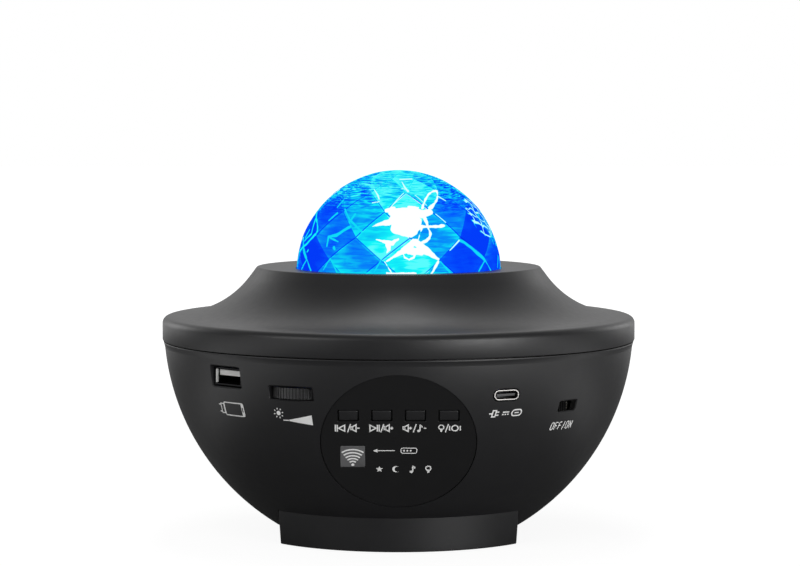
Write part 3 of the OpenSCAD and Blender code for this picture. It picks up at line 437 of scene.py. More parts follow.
def port_cutter(port):
    """Skin of an opening through the wall, with a small chamfer that follows the ball."""
    def loop(grow, depth, flat=None):
        points = []
        for u, v in rounded_box(*port["size"], port["corner"], grow):
            z = port["height"] + v
            skin = math.sqrt(BALL_R ** 2 - (z - BALL_Z) ** 2 - u ** 2)
            points.append(on_side(port["turn"], u, z, flat if flat else skin - depth))
        return points
    wide = CHAMFER + 0.1
    return [loop(wide, -3), loop(wide, -0.1), loop(0, CHAMFER), loop(0, 0, flat=PORT_END)]


def capped(name, loops):
    """Closed skin over loops, with a flat face over the first and the last."""
    return loft(name, loops, ends=True)


def on_panel(u, v, out):
    """A point of the panel's own frame: u right, v up the panel, out from the ball's centre."""
    y = -v * math.sin(PANEL_TILT) - out * math.cos(PANEL_TILT)
    z = v * math.cos(PANEL_TILT) - out * math.sin(PANEL_TILT) + BALL_Z
    return (u, y, z)


def panel_circle(r, out):
    """A circle about the middle of the panel, in its plane or further out."""
    steps = PANEL_SIDES - 1
    return [on_panel(u, v, out) for u, v in arc(0, 0, r, 0, 360 * steps / PANEL_SIDES, steps)]


def cut(mesh, *cutters):
    """The mesh with the cutters taken away."""
    body = link_mesh("cut_body", mesh)
    tools = []
    for k, cutter in enumerate(cutters):
        tool = link_mesh("cut_tool_%d" % k, cutter)
        step = body.modifiers.new("cut", "BOOLEAN")
        step.operation = "DIFFERENCE"
        step.solver = "EXACT"
        step.object = tool
        tools.append(tool)
    graph = bpy.context.evaluated_depsgraph_get()
    result = bpy.data.meshes.new_from_object(body.evaluated_get(graph))
    for obj in [body] + tools:
        bpy.data.objects.remove(obj)
    return result


def true_ball(mesh, radius):
    """Sets the normals of the faces that lie on the ball to the ball's own."""
    centre = Vector((0, 0, BALL_Z * MM))
    mesh.shade_smooth()
    normals = [(0, 0, 0)] * len(mesh.loops)
    for face in mesh.polygons:
        offsets = [mesh.vertices[v].co - centre for v in face.vertices]
        if all(abs(p.length - radius * MM) < ON_BALL for p in offsets):
            side = 1 if face.normal.dot(offsets[0]) > 0 else -1
            for loop, p in zip(face.loop_indices, offsets):
                normals[loop] = tuple(side * p.normalized())
    mesh.normals_split_custom_set(normals)


def make_bowl():
    edge = ball_radius(LIP_Z)
    inner = BALL_R - WALL
    floor_top = FOOT_TOP + WALL
    outside = arc(0, BALL_Z, BALL_R, ball_angle(BOWL_LOW), ball_angle(LIP_Z), 96)
    band, seam = RIM_R - BAND_STEP, SEAM_Z - 0.1
    lip = [(band - 0.1, LIP_Z + 1.5), (band, LIP_Z + 1.7), (band, seam)]
    lip += [(SPIGOT_OUT, seam), (SPIGOT_OUT, SPIGOT_TOP), (SPIGOT_IN, SPIGOT_TOP)]
    lip += [(SPIGOT_IN, LIP_Z + 1), (edge - WALL, LIP_Z + 1)]
    inside = arc(0, BALL_Z, inner, ball_angle(LIP_Z, inner), ball_angle(floor_top, inner), 48)
    bottom = [(CONE_R, floor_top), (CONE_R, BOWL_LOW)]
    mesh = turned("bowl", outside + lip + inside + bottom)
    foot = pedestal_outline(0.05)
    room = capped("foot_room", [[(x, y, z) for x, y in foot] for z in (-1, FOOT_TOP)])
    seat_levels = (PANEL_OFF - PANEL_SEAT, PANEL_OFF + 12)
    seat = capped("panel_seat", [panel_circle(PANEL_R, out) for out in seat_levels])
    ports = [capped("port", port_cutter(port)) for port in (USB_A, WHEEL, USB_C, SWITCH)]
    mesh = cut(mesh, room, seat, *ports)
    mesh.name = "bowl"
    mesh.set_sharp_from_angle(angle=math.radians(25))
    true_ball(mesh, BALL_R)
    mesh.materials.clear()
    mesh.materials.append(matt_black)
    bowl = link_mesh("bowl", mesh)
    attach(bowl, "casing")
    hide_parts("bowl_shell")


make_bowl()


# ---------------------------------------------------------------- control panel
# A flat disc of smooth black plastic that drops into the bowl's seat, screwed
# from behind, with four button openings and a pocket for the window.
PANEL_BLACK = (0.0115, 0.0115, 0.012)
BUTTON_W = 6.5
BUTTON_H = 4
BUTTON_V = 10.1
BUTTON_PITCH = 11.05
BUTTON_U = [(i - 1.5) * BUTTON_PITCH for i in range(4)]
BUTTON_GAP = 0.25
PANEL_FACE = PANEL_OFF - 0.3
PANEL_GAP = 0.15
PANEL_THICK = 2
PANEL_CHAMFER = 0.12
WINDOW_AT = (-15.2, -5.75)
WINDOW_SIZE = 8.2

smooth_black = surface("smooth_black_moulding", PANEL_BLACK, 0.42, 0.5, 0.002,
                       uneven=0.05, shine=0.3)


def shifted(outline, u, v):
    return [(x + u, y + v) for x, y in outline]


def panel_block(name, place, size, corner, levels):
    """A rounded block square to the panel; a level is how far out and what is added all round."""
    loops = []
    for out, grow in levels:
        outline = shifted(rounded_box(*size, corner, grow), *place)
        loops.append([on_panel(x, y, out) for x, y in outline])
    return capped(name, loops)


def make_panel():
    r = PANEL_R - PANEL_GAP
    face = PANEL_FACE
    levels = [(r, face - PANEL_THICK), (r, face - PANEL_CHAMFER), (r - PANEL_CHAMFER, face)]
    mesh = capped("panel", [panel_circle(*level) for level in levels])

    def hole(place, size, corner, low, high, chamfer=PANEL_CHAMFER):
        wide = chamfer + 0.02
        levels = [(low, 0), (face - chamfer, 0), (face + 0.02, wide), (high, wide)]
        return panel_block("hole", place, size, corner, levels)
    key_hole = (BUTTON_W + 2 * BUTTON_GAP, BUTTON_H + 2 * BUTTON_GAP)
    holes = [hole((u, BUTTON_V), key_hole, 0.35, face - 4, face + 2) for u in BUTTON_U]
    size = WINDOW_SIZE + 0.1
    holes.append(hole(WINDOW_AT, (size, size), 0.6, face - 1.05, face + 2))
    holes.append(hole(WINDOW_AT, (size - 2, size - 2), 0.4, face - 4, face - 0.9, chamfer=0))
    mesh = cut(mesh, *holes)
    mesh.name = "panel"
    smooth(mesh, 25)
    mesh.materials.clear()
    mesh.materials.append(smooth_black)
    panel = link_mesh("panel", mesh)
    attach(panel, "casing")
    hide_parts("control_panel")


make_panel()


# ---------------------------------------------------------------- buttons
# Four press keys in one row, each a small moulded cap with softened edges and
# a flange that keeps it behind the panel; a plunger sits under each stem.
KEY_BLACK = (0.016, 0.016, 0.017)
KEY_CORNER = 0.6
KEY_DROP = 0.15
KEY_ROUND = 0.45
KEY_SLIM = 0.1
KEY_FLANGE = 0.5
STEM = (2.8, 2.8)
STEM_CORNER = 1.39
NYLON_WHITE = (0.78, 0.78, 0.75)
NICKEL = (0.66, 0.64, 0.6)

key_plastic = surface("key_plastic", KEY_BLACK, 0.38, 0.4, 0.003, uneven=0.05, shine=0.5)


def make_button(number, u):
    face = PANEL_FACE - KEY_DROP
    back = PANEL_FACE - PANEL_THICK
    cap = [(back - 0.5, KEY_FLANGE), (back - 0.1, KEY_FLANGE), (back - 0.1, -KEY_SLIM)]
    cap.append((face - KEY_ROUND, -KEY_SLIM))
    for a in (22, 45, 68, 90):
        up, aside = math.sin(math.radians(a)), math.cos(math.radians(a))
        cap.append((face - KEY_ROUND * (1 - up), -KEY_SLIM - KEY_ROUND * (1 - aside)))
    outlines = [(out, rounded_box(*STEM, STEM_CORNER)) for out in (back - 2, back - 0.5)]
    outlines += [(out, rounded_box(BUTTON_W, BUTTON_H, KEY_CORNER, grow)) for out, grow in cap]
    loops = [[on_panel(x, y, out) for x, y in shifted(outline, u, BUTTON_V)]
             for out, outline in outlines]
    mesh = capped("key_%d" % number, loops)
    smooth(mesh, 40)
    mesh.materials.append(key_plastic)
    key = link_mesh("key_%d" % number, mesh)
    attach(key, "button_%d" % number)
    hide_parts("button_%d" % number)


for number, u in enumerate(BUTTON_U, start=1):
    make_button(number, u)

white_nylon = surface("white_nylon", NYLON_WHITE, 0.45, 0.5, 0.004, uneven=0.04)
nickel = surface("nickel_plate", NICKEL, 0.24, 0.4, 0.002, uneven=0.08, metallic=1.0)
dress(white_nylon, "plunger_1", "plunger_2", "plunger_3", "plunger_4")
dress(nickel, "tact_switches")


# ---------------------------------------------------------------- receiver window
# A square of smoked clear plastic pressed into the panel, frosted on its
# face, that lets the remote control's infrared light through to the receiver.
WINDOW_GREY = (0.13, 0.13, 0.133)
WINDOW_CORNER = 0.55
WINDOW_PROUD = 0.05

frosted_window = surface("frosted_window", WINDOW_GREY, 0.35, 0.45, 0.03, uneven=0.3)


def make_window():
    levels = [(-1, 0), (-0.05, 0), (0.02, -0.08), (WINDOW_PROUD, -0.2)]
    levels = [(PANEL_FACE + out, grow) for out, grow in levels]
    size = (WINDOW_SIZE, WINDOW_SIZE)
    mesh = panel_block("receiver_window", WINDOW_AT, size, WINDOW_CORNER, levels)
    smooth(mesh, 35)
    mesh.materials.append(frosted_window)
    window = link_mesh("receiver_window", mesh)
    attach(window, "casing")
    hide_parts("ir_window")


make_window()


# ---------------------------------------------------------------- printed marks
# White ink, pad-printed on the panel and the bowl: plain signs for the
# buttons, the window, the wheel and the sockets, and OFF/ON under the switch.
INK_WHITE = (0.92, 0.92, 0.91)
INK_THICK = 0.05
INK_STEP = 1.0
INK_WELD = 0.002
LINE = 0.42
SIGN_V, REMOTE_V, ROW_V = 5.4, -3.4, -10.7
LETTER_W, LETTER_H, LETTER_PITCH, LETTER_LEAN = 1.12, 2.6, 1.85, 0.16

white_ink = surface("white_ink", INK_WHITE, 0.6, 0.3, 0.004, uneven=0.05, shine=0.3)


def stroke(points, width):
    """A line of ink along the points, as one quad for each stretch."""
    shapes = []
    for (x0, y0), (x1, y1) in zip(points, points[1:]):
        length = math.hypot(x1 - x0, y1 - y0)
        nx, ny = -(y1 - y0) / length * width / 2, (x1 - x0) / length * width / 2
        shapes.append([(x0 + nx, y0 + ny), (x0 - nx, y0 - ny),
                       (x1 - nx, y1 - ny), (x1 + nx, y1 + ny)])
    return shapes


def closed_stroke(points, width):
    """A closed line of ink with mitred corners, as quads between an outer and an inner outline."""
    count = len(points)
    outer, inner = [], []
    for k in range(count):
        a, b, c = (Vector(points[(k + d) % count]) for d in (-1, 0, 1))
        n1 = Vector((-(b - a).y, (b - a).x)).normalized()
        n2 = Vector((-(c - b).y, (c - b).x)).normalized()
        mitre = (n1 + n2) / (1 + n1.dot(n2))
        outer.append(tuple(b + mitre * width / 2))
        inner.append(tuple(b - mitre * width / 2))
    ends = list(zip(outer, inner))
    return [[a, b, d, c] for (a, b), (c, d) in zip(ends, ends[1:] + ends[:1])]


def moved(shapes, u, v):
    return [shifted(shape, u, v) for shape in shapes]


def disc(u, v, r, steps=16):
    return [arc(u, v, r, 0, 360 - 360 / steps, steps - 1)]


def print_marks(name, shapes, place):
    """Lays flat ink shapes on a surface; place(u, v, h) gives the point h above it."""
    flat = bmesh.new()
    for shape in shapes:
        face = flat.faces.new([flat.verts.new((x, y, 0)) for x, y in shape])
        face.normal_update()
    bmesh.ops.remove_doubles(flat, verts=flat.verts, dist=INK_WELD)
    bmesh.ops.triangulate(flat, faces=flat.faces)
    for _ in range(4):
        long_edges = [e for e in flat.edges if e.calc_length() > INK_STEP]
        if not long_edges:
            break
        bmesh.ops.subdivide_edges(flat, edges=long_edges, cuts=1)
        bmesh.ops.triangulate(flat, faces=flat.faces)
    for face in flat.faces:
        face.normal_update()
        if face.normal.z < 0:
            face.normal_flip()
    border = [e for e in flat.edges if len(e.link_faces) == 1]
    flat.verts.index_update()
    top = [Vector(place(v.co.x, v.co.y, INK_THICK)) * MM for v in flat.verts]
    low = [Vector(place(v.co.x, v.co.y, -INK_THICK)) * MM for v in flat.verts]
    count = len(top)
    faces = [[v.index for v in f.verts] for f in flat.faces]
    faces += [[v.index + count for v in reversed(f.verts)] for f in flat.faces]
    for edge in border:
        a, b = (v.index for v in edge.verts)
        faces.append([a, b, b + count, a + count])
    mesh = bpy.data.meshes.new(name)
    mesh.from_pydata(top + low, [], faces)
    flat.free()
    outward(mesh)
    mesh.materials.append(white_ink)
    marks = link_mesh(name, mesh)
    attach(marks, "casing")


def panel_ink(u, v, h):
    return on_panel(u, v, PANEL_FACE + h)


def bowl_ink(turn, height):
    """The place function for flat shapes laid on the ball round a point of its side."""
    a = math.radians(turn)
    e = math.asin((height - BALL_Z) / BALL_R)
    out = Vector((math.sin(a) * math.cos(e), -math.cos(a) * math.cos(e), math.sin(e)))
    right = Vector((math.cos(a), math.sin(a), 0))
    up = out.cross(right)
    centre = Vector((0, 0, BALL_Z))

    def place(u, v, h):
        return centre + (out * BALL_R + right * u + up * v).normalized() * (BALL_R + h)
    return place


def speaker_sign():
    box = closed_stroke([(-0.2, -0.55), (-0.75, -0.55), (-0.75, 0.55), (-0.2, 0.55)], LINE * 0.8)
    horn = closed_stroke([(-0.2, -0.6), (-0.2, 0.6), (0.95, 1.3), (0.95, -1.3)], LINE)
    return box + horn


def minus_sign():
    return stroke([(-0.45, 0), (0.45, 0)], LINE)


def plus_sign():
    across = [(-0.5, 0), (0.5, 0)]
    below, above = [(0, -0.5), (0, -LINE / 2)], [(0, LINE / 2), (0, 0.5)]
    return [shape for line in (across, below, above) for shape in stroke(line, LINE)]


def slash():
    return stroke([(-0.5, -1.6), (0.5, 1.6)], LINE * 0.9)


def skip_sign(way):
    """Triangle with two bars, for previous (-1) or next (1)."""
    tip, tail = 1.1 * way, -0.9 * way
    triangle = closed_stroke([(tail, -1.2 * way), (tip, 0), (tail, 1.2 * way)], LINE)
    bars = [s for x in (1.55, 2.15) for s in stroke([(x * way, -1.3), (x * way, 1.3)], LINE)]
    return triangle + bars


def note_sign():
    head = disc(-0.35, -1.05, 0.5)
    stem = stroke([(0.1, -1.0), (0.1, 1.35)], LINE)
    flag = stroke([(0.1, 1.3), (0.75, 0.75), (0.8, 0.2)], LINE)
    return head + stem + flag


def ring_sign():
    ring = closed_stroke(arc(0, 0, 1.05, 0, 345, 23), LINE)
    bars = [s for x in (-1.75, 1.75) for s in stroke([(x, -0.9), (x, 0.9)], LINE)]
    return ring + bars


def moon_sign(r=1.2, steps=18):
    outer = arc(0, 0, r, 60, 300, steps)
    inner = arc(0.55 * r, 0, 0.88 * r, 75, 285, steps)
    return [[outer[k], outer[k + 1], inner[k + 1], inner[k]] for k in range(steps)]


def star_sign(r=1.25):
    points = []
    for k in range(10):
        a = math.pi * k / 5
        reach = r if k % 2 == 0 else r * 0.42
        points.append((reach * math.sin(a), reach * math.cos(a)))
    return [[(0, 0), points[k - 1], points[k], points[(k + 1) % 10]] for k in range(0, 10, 2)]


def bulb_sign():
    glass = closed_stroke(arc(0, 0.35, 0.85, -60, 240, 18), LINE * 0.9)
    base = stroke([(-0.4, -0.75), (0.4, -0.75)], LINE) + stroke([(-0.3, -1.2), (0.3, -1.2)], LINE)
    return glass + base


def wave_sign():
    """Arcs that spread upwards from a dot, for the receiver window."""
    shapes = disc(0, -3.15, 0.5)
    for r in (1.5, 2.6, 3.7, 4.9, 6.1):
        shapes += stroke(arc(0, -3.3, r, 45 + r * 1.5, 135 - r * 1.5, 12), 0.5)
    return shapes


def remote_shapes():
    """A remote control with three keys, and an arrow from it to the window."""
    control = closed_stroke(rounded_box(5.2, 2, 0.6), 0.28)
    control += [s for x in (-1.6, -0.5, 0.6) for s in disc(x, 0, 0.32)]
    arrow = stroke([(-7.2, 0), (-1.2, 0)], 0.3) + [[(-8.4, 0), (-7, -0.7), (-7, 0.7)]]
    return moved(control, 3.4, REMOTE_V) + moved(arrow, 0, REMOTE_V)


def in_a_row(v, *places):
    """Signs side by side at height v, from pairs of a sign and where it stands."""
    return [shape for sign, u in places for shape in moved(sign, u, v)]


def window_ink(u, v, h):
    return panel_ink(u, v, WINDOW_PROUD + h)


button_signs = (
    ((skip_sign(-1), -2.1), (slash(), 0.25), (speaker_sign(), 1.6), (minus_sign(), 3.3)),
    ((skip_sign(1), -3.0), (slash(), 0.15), (speaker_sign(), 1.5), (plus_sign(), 3.3)),
    ((speaker_sign(), -3.3), (plus_sign(), -1.6), (slash(), -0.2), (note_sign(), 1.45),
     (minus_sign(), 3.2)),
    ((bulb_sign(), -2.5), (slash(), -0.65), (ring_sign(), 2.0)),
)
button_shapes = []
for u, signs in zip(BUTTON_U, button_signs):
    button_shapes += in_a_row(SIGN_V, *[(sign, u + offset) for sign, offset in signs])
row_shapes = in_a_row(ROW_V, (star_sign(), -6.4), (moon_sign(), -0.9), (note_sign(), 4.6),
                      (bulb_sign(), 9.9))
print_marks("button_marks", button_shapes, panel_ink)
print_marks("remote_mark", remote_shapes(), panel_ink)
print_marks("function_marks", row_shapes, panel_ink)
print_marks("window_mark", moved(wave_sign(), *WINDOW_AT), window_ink)


def phone_shapes():
    """A telephone with its plug, for the socket that charges one."""
    body = closed_stroke(rounded_box(9.2, 4.6, 0.5), 0.4)
    end = stroke([(4.1, -2.2), (4.1, -0.8)], 0.9) + stroke([(4.1, 0.8), (4.1, 2.2)], 0.9)
    end += stroke([(3.75, -0.8), (3.75, 0.8)], 0.22)
    plug = closed_stroke([(-6.4, -1.7), (-4.9, -1.7), (-4.9, 1.7), (-6.4, 1.7)], 0.36)
    pins = [s for v in (-1.3, 1.3) for s in stroke([(-7.5, v), (-6.6, v)], 0.36)]
    return body + end + plug + pins


def sun_shapes():
    shapes = disc(0, 0, 0.78)
    for k in range(8):
        a = math.radians(45 * k + 10)
        shapes += stroke([(r * math.cos(a), r * math.sin(a)) for r in (1.35, 1.85)], 0.36)
    return shapes


def ramp_shapes():
    """A wedge that grows with the brightness."""
    wedge = [[(-3.3, -0.35), (5.2, -1.5), (5.2, 2.1), (-3.3, 0.1)]]
    return wedge + stroke([(-5.6, -0.2), (-3.6, -0.15)], 0.34)


def direct_current_sign():
    shapes = stroke([(-1.2, 0.45), (1.2, 0.45)], LINE)
    for x in (-0.95, 0, 0.95):
        shapes += stroke([(x - 0.28, -0.4), (x + 0.28, -0.4)], LINE)
    return shapes


def plug_sign():
    """A small plug with two pins and a short tail of cord."""
    side = 0.6 + LINE / 2
    body = closed_stroke([(-0.6, -1.1), (0.6, -1.1), (0.6, 1.1), (-0.6, 1.1)], LINE)
    pins = [s for v in (-0.55, 0.55) for s in stroke([(side, v), (side + 0.95, v)], LINE)]
    return body + pins + stroke([(-side - 0.95, 0), (-side, 0)], LINE)


def inlet_sign():
    """A small socket: a round-ended mouth with a bar in it."""
    return closed_stroke(rounded_box(3.7, 2.1, 1.0), LINE) + stroke([(-0.8, 0), (0.8, 0)], LINE)


def switch_shapes():
    """OFF/ON in plain upright strokes."""
    w, h, thick = LETTER_W / 2, LETTER_H / 2, 0.36
    ring = closed_stroke(rounded_box(2 * w, 2 * h, 0.85 * w), thick)
    post = stroke([(-w, -h), (-w, h)], thick)
    f = post + stroke([(-w, h), (w, h)], thick) + stroke([(-w, 0.1 * h), (0.7 * w, 0.1 * h)], thick)
    n = post + stroke([(w, -h), (w, h)], thick) + stroke([(-w, h), (w, -h)], thick)
    bar = stroke([(-0.4 * w, -1.15 * h), (0.4 * w, 1.15 * h)], 0.4)
    letters = (ring, f, f, bar, ring, n)
    places = [(k - 2.5) * LETTER_PITCH for k in range(6)]
    return [shape for letter, u in zip(letters, places) for shape in moved(letter, u, 0)]


def slanted(shapes):
    return [[(x + y * LETTER_LEAN, y) for x, y in shape] for shape in shapes]


print_marks("charging_mark", phone_shapes(), bowl_ink(-43.8, 49))
print_marks("brightness_mark", sun_shapes(), bowl_ink(-29.9, 49.1))
print_marks("ramp_mark", ramp_shapes(), bowl_ink(-24.8, 46.9))
socket_shapes = in_a_row(0, (plug_sign(), -4.3), (direct_current_sign(), 0), (inlet_sign(), 4.2))
print_marks("socket_mark", slanted(socket_shapes), bowl_ink(26.3, 49.3))
print_marks("switch_mark", slanted(switch_shapes()), bowl_ink(44.9, 43.3))


# ---------------------------------------------------------------- sockets, wheel and switch
# Folded steel USB shells round plastic tongues with gilt contacts, a ridged
# rubbery wheel on its potentiometer, and a slide switch with a black knob.
TONGUE_WHITE = (0.82, 0.82, 0.8)
GILT = (0.86, 0.62, 0.25)
POT_GREY = (0.2, 0.2, 0.21)
WHEEL_BLACK = (0.03, 0.03, 0.031)
KNOB_BLACK_AND_SHADE = (0.003, 0.003, 0.003)
TONGUE_BLACK = (0.035, 0.035, 0.037)
PAINTED_SHADE_STEEL = (0.02, 0.02, 0.021)
DARK_NICKEL = (0.3, 0.29, 0.28)
# a white strip inside the wide socket's mouth, a painted highlight of the shell's side
GLINT_STRIP_SIZE = (0.55, 4.6)
GLINT_STRIP_CORNER = 0.2
GLINT_STRIP_ASIDE = 5.95
GLINT_STRIP_DEEP = 1.45

tongue_plastic = surface("white_tongue", TONGUE_WHITE, 0.4, 0.5, 0.003, uneven=0.03)
gilt = surface("gilt_contact", GILT, 0.25, 0.3, 0.002, uneven=0.08, metallic=1.0)
wheel_rubber = surface("ridged_wheel", WHEEL_BLACK, 0.5, 0.3, 0.006, uneven=0.15)
# black plastic for the switch knob, darkened further and kept dull as painted shade in the switch's
# opening
knob_plastic_and_shade = surface("knob_plastic_and_shade", KNOB_BLACK_AND_SHADE, 0.7, 0.3, 0.004, uneven=0.1, shine=0.1)
dark_tongue = surface("dark_tongue", TONGUE_BLACK, 0.45, 0.3, 0.004)
pot_case = surface("pot_case", POT_GREY, 0.35, 0.3, 0.003, metallic=0.9)
# steel for the wide socket's shell, darkened far below steel's own colour as painted shade inside
# the opening
painted_shade_steel = surface("painted_shade_steel", PAINTED_SHADE_STEEL, 0.35, 0.3, 0.002, uneven=0.1, metallic=1.0)
dark_nickel = surface("dark_nickel", DARK_NICKEL, 0.34, 0.4, 0.002, uneven=0.08, metallic=1.0)
dress(nickel, "switch_body")
dress(dark_nickel, "usb_c_shell")
dress(painted_shade_steel, "usb_a_shell")
dress(tongue_plastic, "usb_a_insert")
dress(gilt, "usb_a_contacts")
dress(rubber, "usb_a_riser")
dress(dark_tongue, "usb_c_insert")
dress(wheel_rubber, "dimmer_wheel")
dress(pot_case, "dimmer_pot")
dress(knob_plastic_and_shade, "switch_knob")


def make_glint_strip():
    """A thin white upright strip inside the mouth of the wide socket: a painted highlight where the
    steel shell's side catches the light.
    """
    turn, height = USB_A["turn"], USB_A["height"]
    front = ball_radius(height) - GLINT_STRIP_DEEP
    loops = []
    for out, grow in ((front - 0.7, 0), (front - 0.1, 0), (front, -0.08)):
        outline = shifted(rounded_box(*GLINT_STRIP_SIZE, GLINT_STRIP_CORNER, grow), -GLINT_STRIP_ASIDE, height)
        loops.append([on_side(turn, u, z, out) for u, z in outline])
    mesh = capped("usb_a_painted_glint", loops)
    smooth(mesh, 35)
    mesh.materials.append(tongue_plastic)
    glint_strip = link_mesh("usb_a_painted_glint", mesh)
    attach(glint_strip, "casing")


make_glint_strip()


# ---------------------------------------------------------------- boards
# Glass-fibre boards with green solder mask: one behind the buttons, one under
# each group of sockets and the main one across the bowl, all on screws.
BOARD_GREEN = (0.012, 0.085, 0.032)
CHIP_BLACK = (0.02, 0.02, 0.021)
CAN_BLUE = (0.02, 0.03, 0.09)
LEAD_RED = (0.3, 0.03, 0.025)

board = surface("solder_mask", BOARD_GREEN, 0.3, 0.8, 0.004, uneven=0.2)
chip = surface("chip_epoxy", CHIP_BLACK, 0.6, 0.2, 0.006)
can = surface("capacitor_sleeve", CAN_BLUE, 0.3, 0.6, 0.002)
dress(board, "button_board", "left_board", "right_board", "main_board")
dress(chip, "main_chips", "ir_receiver")
dress(can, "capacitors")
dress(white_nylon, "lead_sockets")
dress(zinc, "board_screws")

lead_skin = surface("lead_skin", LEAD_RED, 0.5, 0.5, 0.004)
dress(lead_skin, "speaker_leads", "optics_leads", "port_leads")


# ---------------------------------------------------------------- lamp and laser
# Four lamp chips on a round white board over a finned aluminium block, clear
# lenses above them and a brass laser in the middle under its star glass.
LAMP_WHITE = (0.8, 0.8, 0.78)
ALUMINIUM = (0.7, 0.71, 0.72)
FRAME_BLACK = (0.02, 0.02, 0.021)
PHOSPHOR_YELLOW = (0.85, 0.72, 0.2)
ACRYLIC_CLEAR = (0.93, 0.97, 1)
ACRYLIC_IOR = 1.49

frame_plastic = surface("frame_plastic", FRAME_BLACK, 0.55, 0.35, 0.006)
lamp_board = surface("lamp_board", LAMP_WHITE, 0.35, 0.8, 0.003, uneven=0.04)
aluminium = surface("aluminium", ALUMINIUM, 0.35, 0.25, 0.003, uneven=0.08, metallic=1.0)
phosphor = surface("phosphor", PHOSPHOR_YELLOW, 0.6, 0.3, 0.01)
dress(frame_plastic, "optics_frame")
dress(lamp_board, "led_board")
dress(aluminium, "heat_sink")
dress(phosphor, "led_emitters")
dress(gilt, "laser_module")
dress(frame_plastic, "laser_cap")
dress(zinc, "frame_screws")


def acrylic_material():
    """A polished surface that lets the light through."""
    material = surface("clear_acrylic", ACRYLIC_CLEAR, 0.03, 2.0, 0.01, uneven=0.03)
    shader = material.node_tree.nodes["Principled BSDF"]
    shader.inputs["Transmission Weight"].default_value = 1
    shader.inputs["IOR"].default_value = ACRYLIC_IOR
    return material


clear_acrylic = acrylic_material()
dress(clear_acrylic, "led_lenses")


# ---------------------------------------------------------------- ripple drive
# A small gear motor turns a white ring gear, and with it a clear cap moulded
# with rings of waves that makes the light swim like water.
dress(nickel, "gear_motor", "motor_shaft")
dress(white_nylon, "drive_pinion", "ripple_gear")
dress(clear_acrylic, "ripple_lens")


# ---------------------------------------------------------------- cover
# The upper casing: a ring that dips towards the dome, a hollow flare and an
# upright rim band, one moulding that snaps over the bowl's lip.
DECK_Z = 93.8
COVER_HOLE = 36.6
RIM_TOP_Z = 76.2
FLARE_STEEP = 53
FLARE_SHALLOW = 5.5
FLARE_R = 34
SHALLOW_R = 76.9
FLARE_STEPS = 40
CREASE_ROUND = 0.8
DECK_DISH = 0.5
RIM_ROUND = 2.3


def rounded(a, b, c, r, steps=8):
    """Corner b between a and c as an arc of radius r."""
    a, b, c = Vector(a), Vector(b), Vector(c)
    u, v = (a - b).normalized(), (c - b).normalized()
    half = math.acos(u.dot(v)) / 2
    centre = b + (u + v).normalized() * r / math.sin(half)
    start, end = b + u * r / math.tan(half), b + v * r / math.tan(half)
    a0 = math.degrees(math.atan2(start.y - centre.y, start.x - centre.x))
    turn = math.degrees(math.atan2(end.y - centre.y, end.x - centre.x)) - a0
    turn = (turn + 180) % 360 - 180
    return arc(centre.x, centre.y, r, a0, a0 + turn, steps)


def cover_profile():
    """The cover's wall in section, from the dome's opening out over the flare and back inside."""
    steep, shallow = math.radians(FLARE_STEEP), math.radians(FLARE_SHALLOW)
    shallow_end = Vector((SHALLOW_R, RIM_TOP_Z + (RIM_R - SHALLOW_R) * math.tan(shallow)))
    centre = shallow_end + FLARE_R * Vector((math.sin(shallow), math.cos(shallow)))
    steep_start = centre - FLARE_R * Vector((math.sin(steep), math.cos(steep)))
    crease = Vector((steep_start.x - (DECK_Z - steep_start.y) / math.tan(steep), DECK_Z))
    inner_crease = (crease.x - WALL * math.tan(steep / 2), DECK_Z - WALL)
    inner_r = FLARE_R + WALL
    band_in = RIM_R - WALL
    inner_end = centre - inner_r * Vector((math.sin(shallow), math.cos(shallow)))
    corner_z = inner_end.y - (band_in - inner_end.x) * math.tan(shallow)
    hole_z = DECK_Z - DECK_DISH
    profile = [(COVER_HOLE, hole_z - 0.4), (COVER_HOLE + 0.1, hole_z - 0.1)]
    profile += rounded((COVER_HOLE + 0.4, hole_z), crease, steep_start, CREASE_ROUND)
    steep_at, shallow_at = 270 - FLARE_STEEP, 270 - FLARE_SHALLOW
    profile += arc(centre.x, centre.y, FLARE_R, steep_at, shallow_at, FLARE_STEPS)
    profile += rounded(shallow_end, (RIM_R, RIM_TOP_Z), (RIM_R, SEAM_Z), RIM_ROUND)
    profile += [(RIM_R, SEAM_Z + 0.6), (RIM_R - 0.12, SEAM_Z + 0.32)]
    profile += [(RIM_R - BAND_STEP, SEAM_Z + 0.2), (band_in, SEAM_Z + 0.2), (band_in, corner_z)]
    profile += arc(centre.x, centre.y, inner_r, shallow_at, steep_at, FLARE_STEPS // 2)
    return profile + [inner_crease, (COVER_HOLE, DECK_Z - WALL)]


def make_cover():
    mesh = turned("cover", cover_profile())
    smooth(mesh, 25)
    mesh.materials.append(matt_black)
    cover = link_mesh("cover", mesh)
    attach(cover, "casing")
    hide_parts("top_cover")


make_cover()


# ---------------------------------------------------------------- dome
# The star dome: clear plastic moulded in shallow diamond facets with a fine
# groove between them, eleven to a row, with the light of the blue lamps inside
# painted on its skin as a glow.
DOME_R = 36.5
DOME_Z = 91.5
DOME_WALL = 2
DOME_SIDES = 11
DOME_ROWS = (-4, 9.5, 22, 38, 52.5, 67, 79.5)
DOME_TURN = 6.7
FACET_CELLS = 8
FACET_BULGE = 0.85
GROOVE_SHARE = 0.028
GROOVE_DEPTH = 0.22
FLANGE_THICK = 2.2
FLANGE_LOW = DECK_Z - WALL - FLANGE_THICK
FLANGE_R = DOME_R + 3.5
EAR_AT = DOME_R + 6
EAR_R = 3.4
EAR_HOLE_R = 1.2
LAMP_TURN = 4.5
LAMP_SPREAD = 120
LAMP_LEFT = 64
LONG_LINE = 5
# each facet's painted glow differs a little in tone, leans brighter to one side and is painted
# brighter at its rim than in its middle; its grooves get painted shade and painted glints
TONE_SPREAD = 0.03
TONE_LEAN = 0.09
RIM_GLOW_RISE = 0.12
EDGE_SHADE = -0.5
EDGE_LIGHTS = (0.05, 0.1, 0.2)
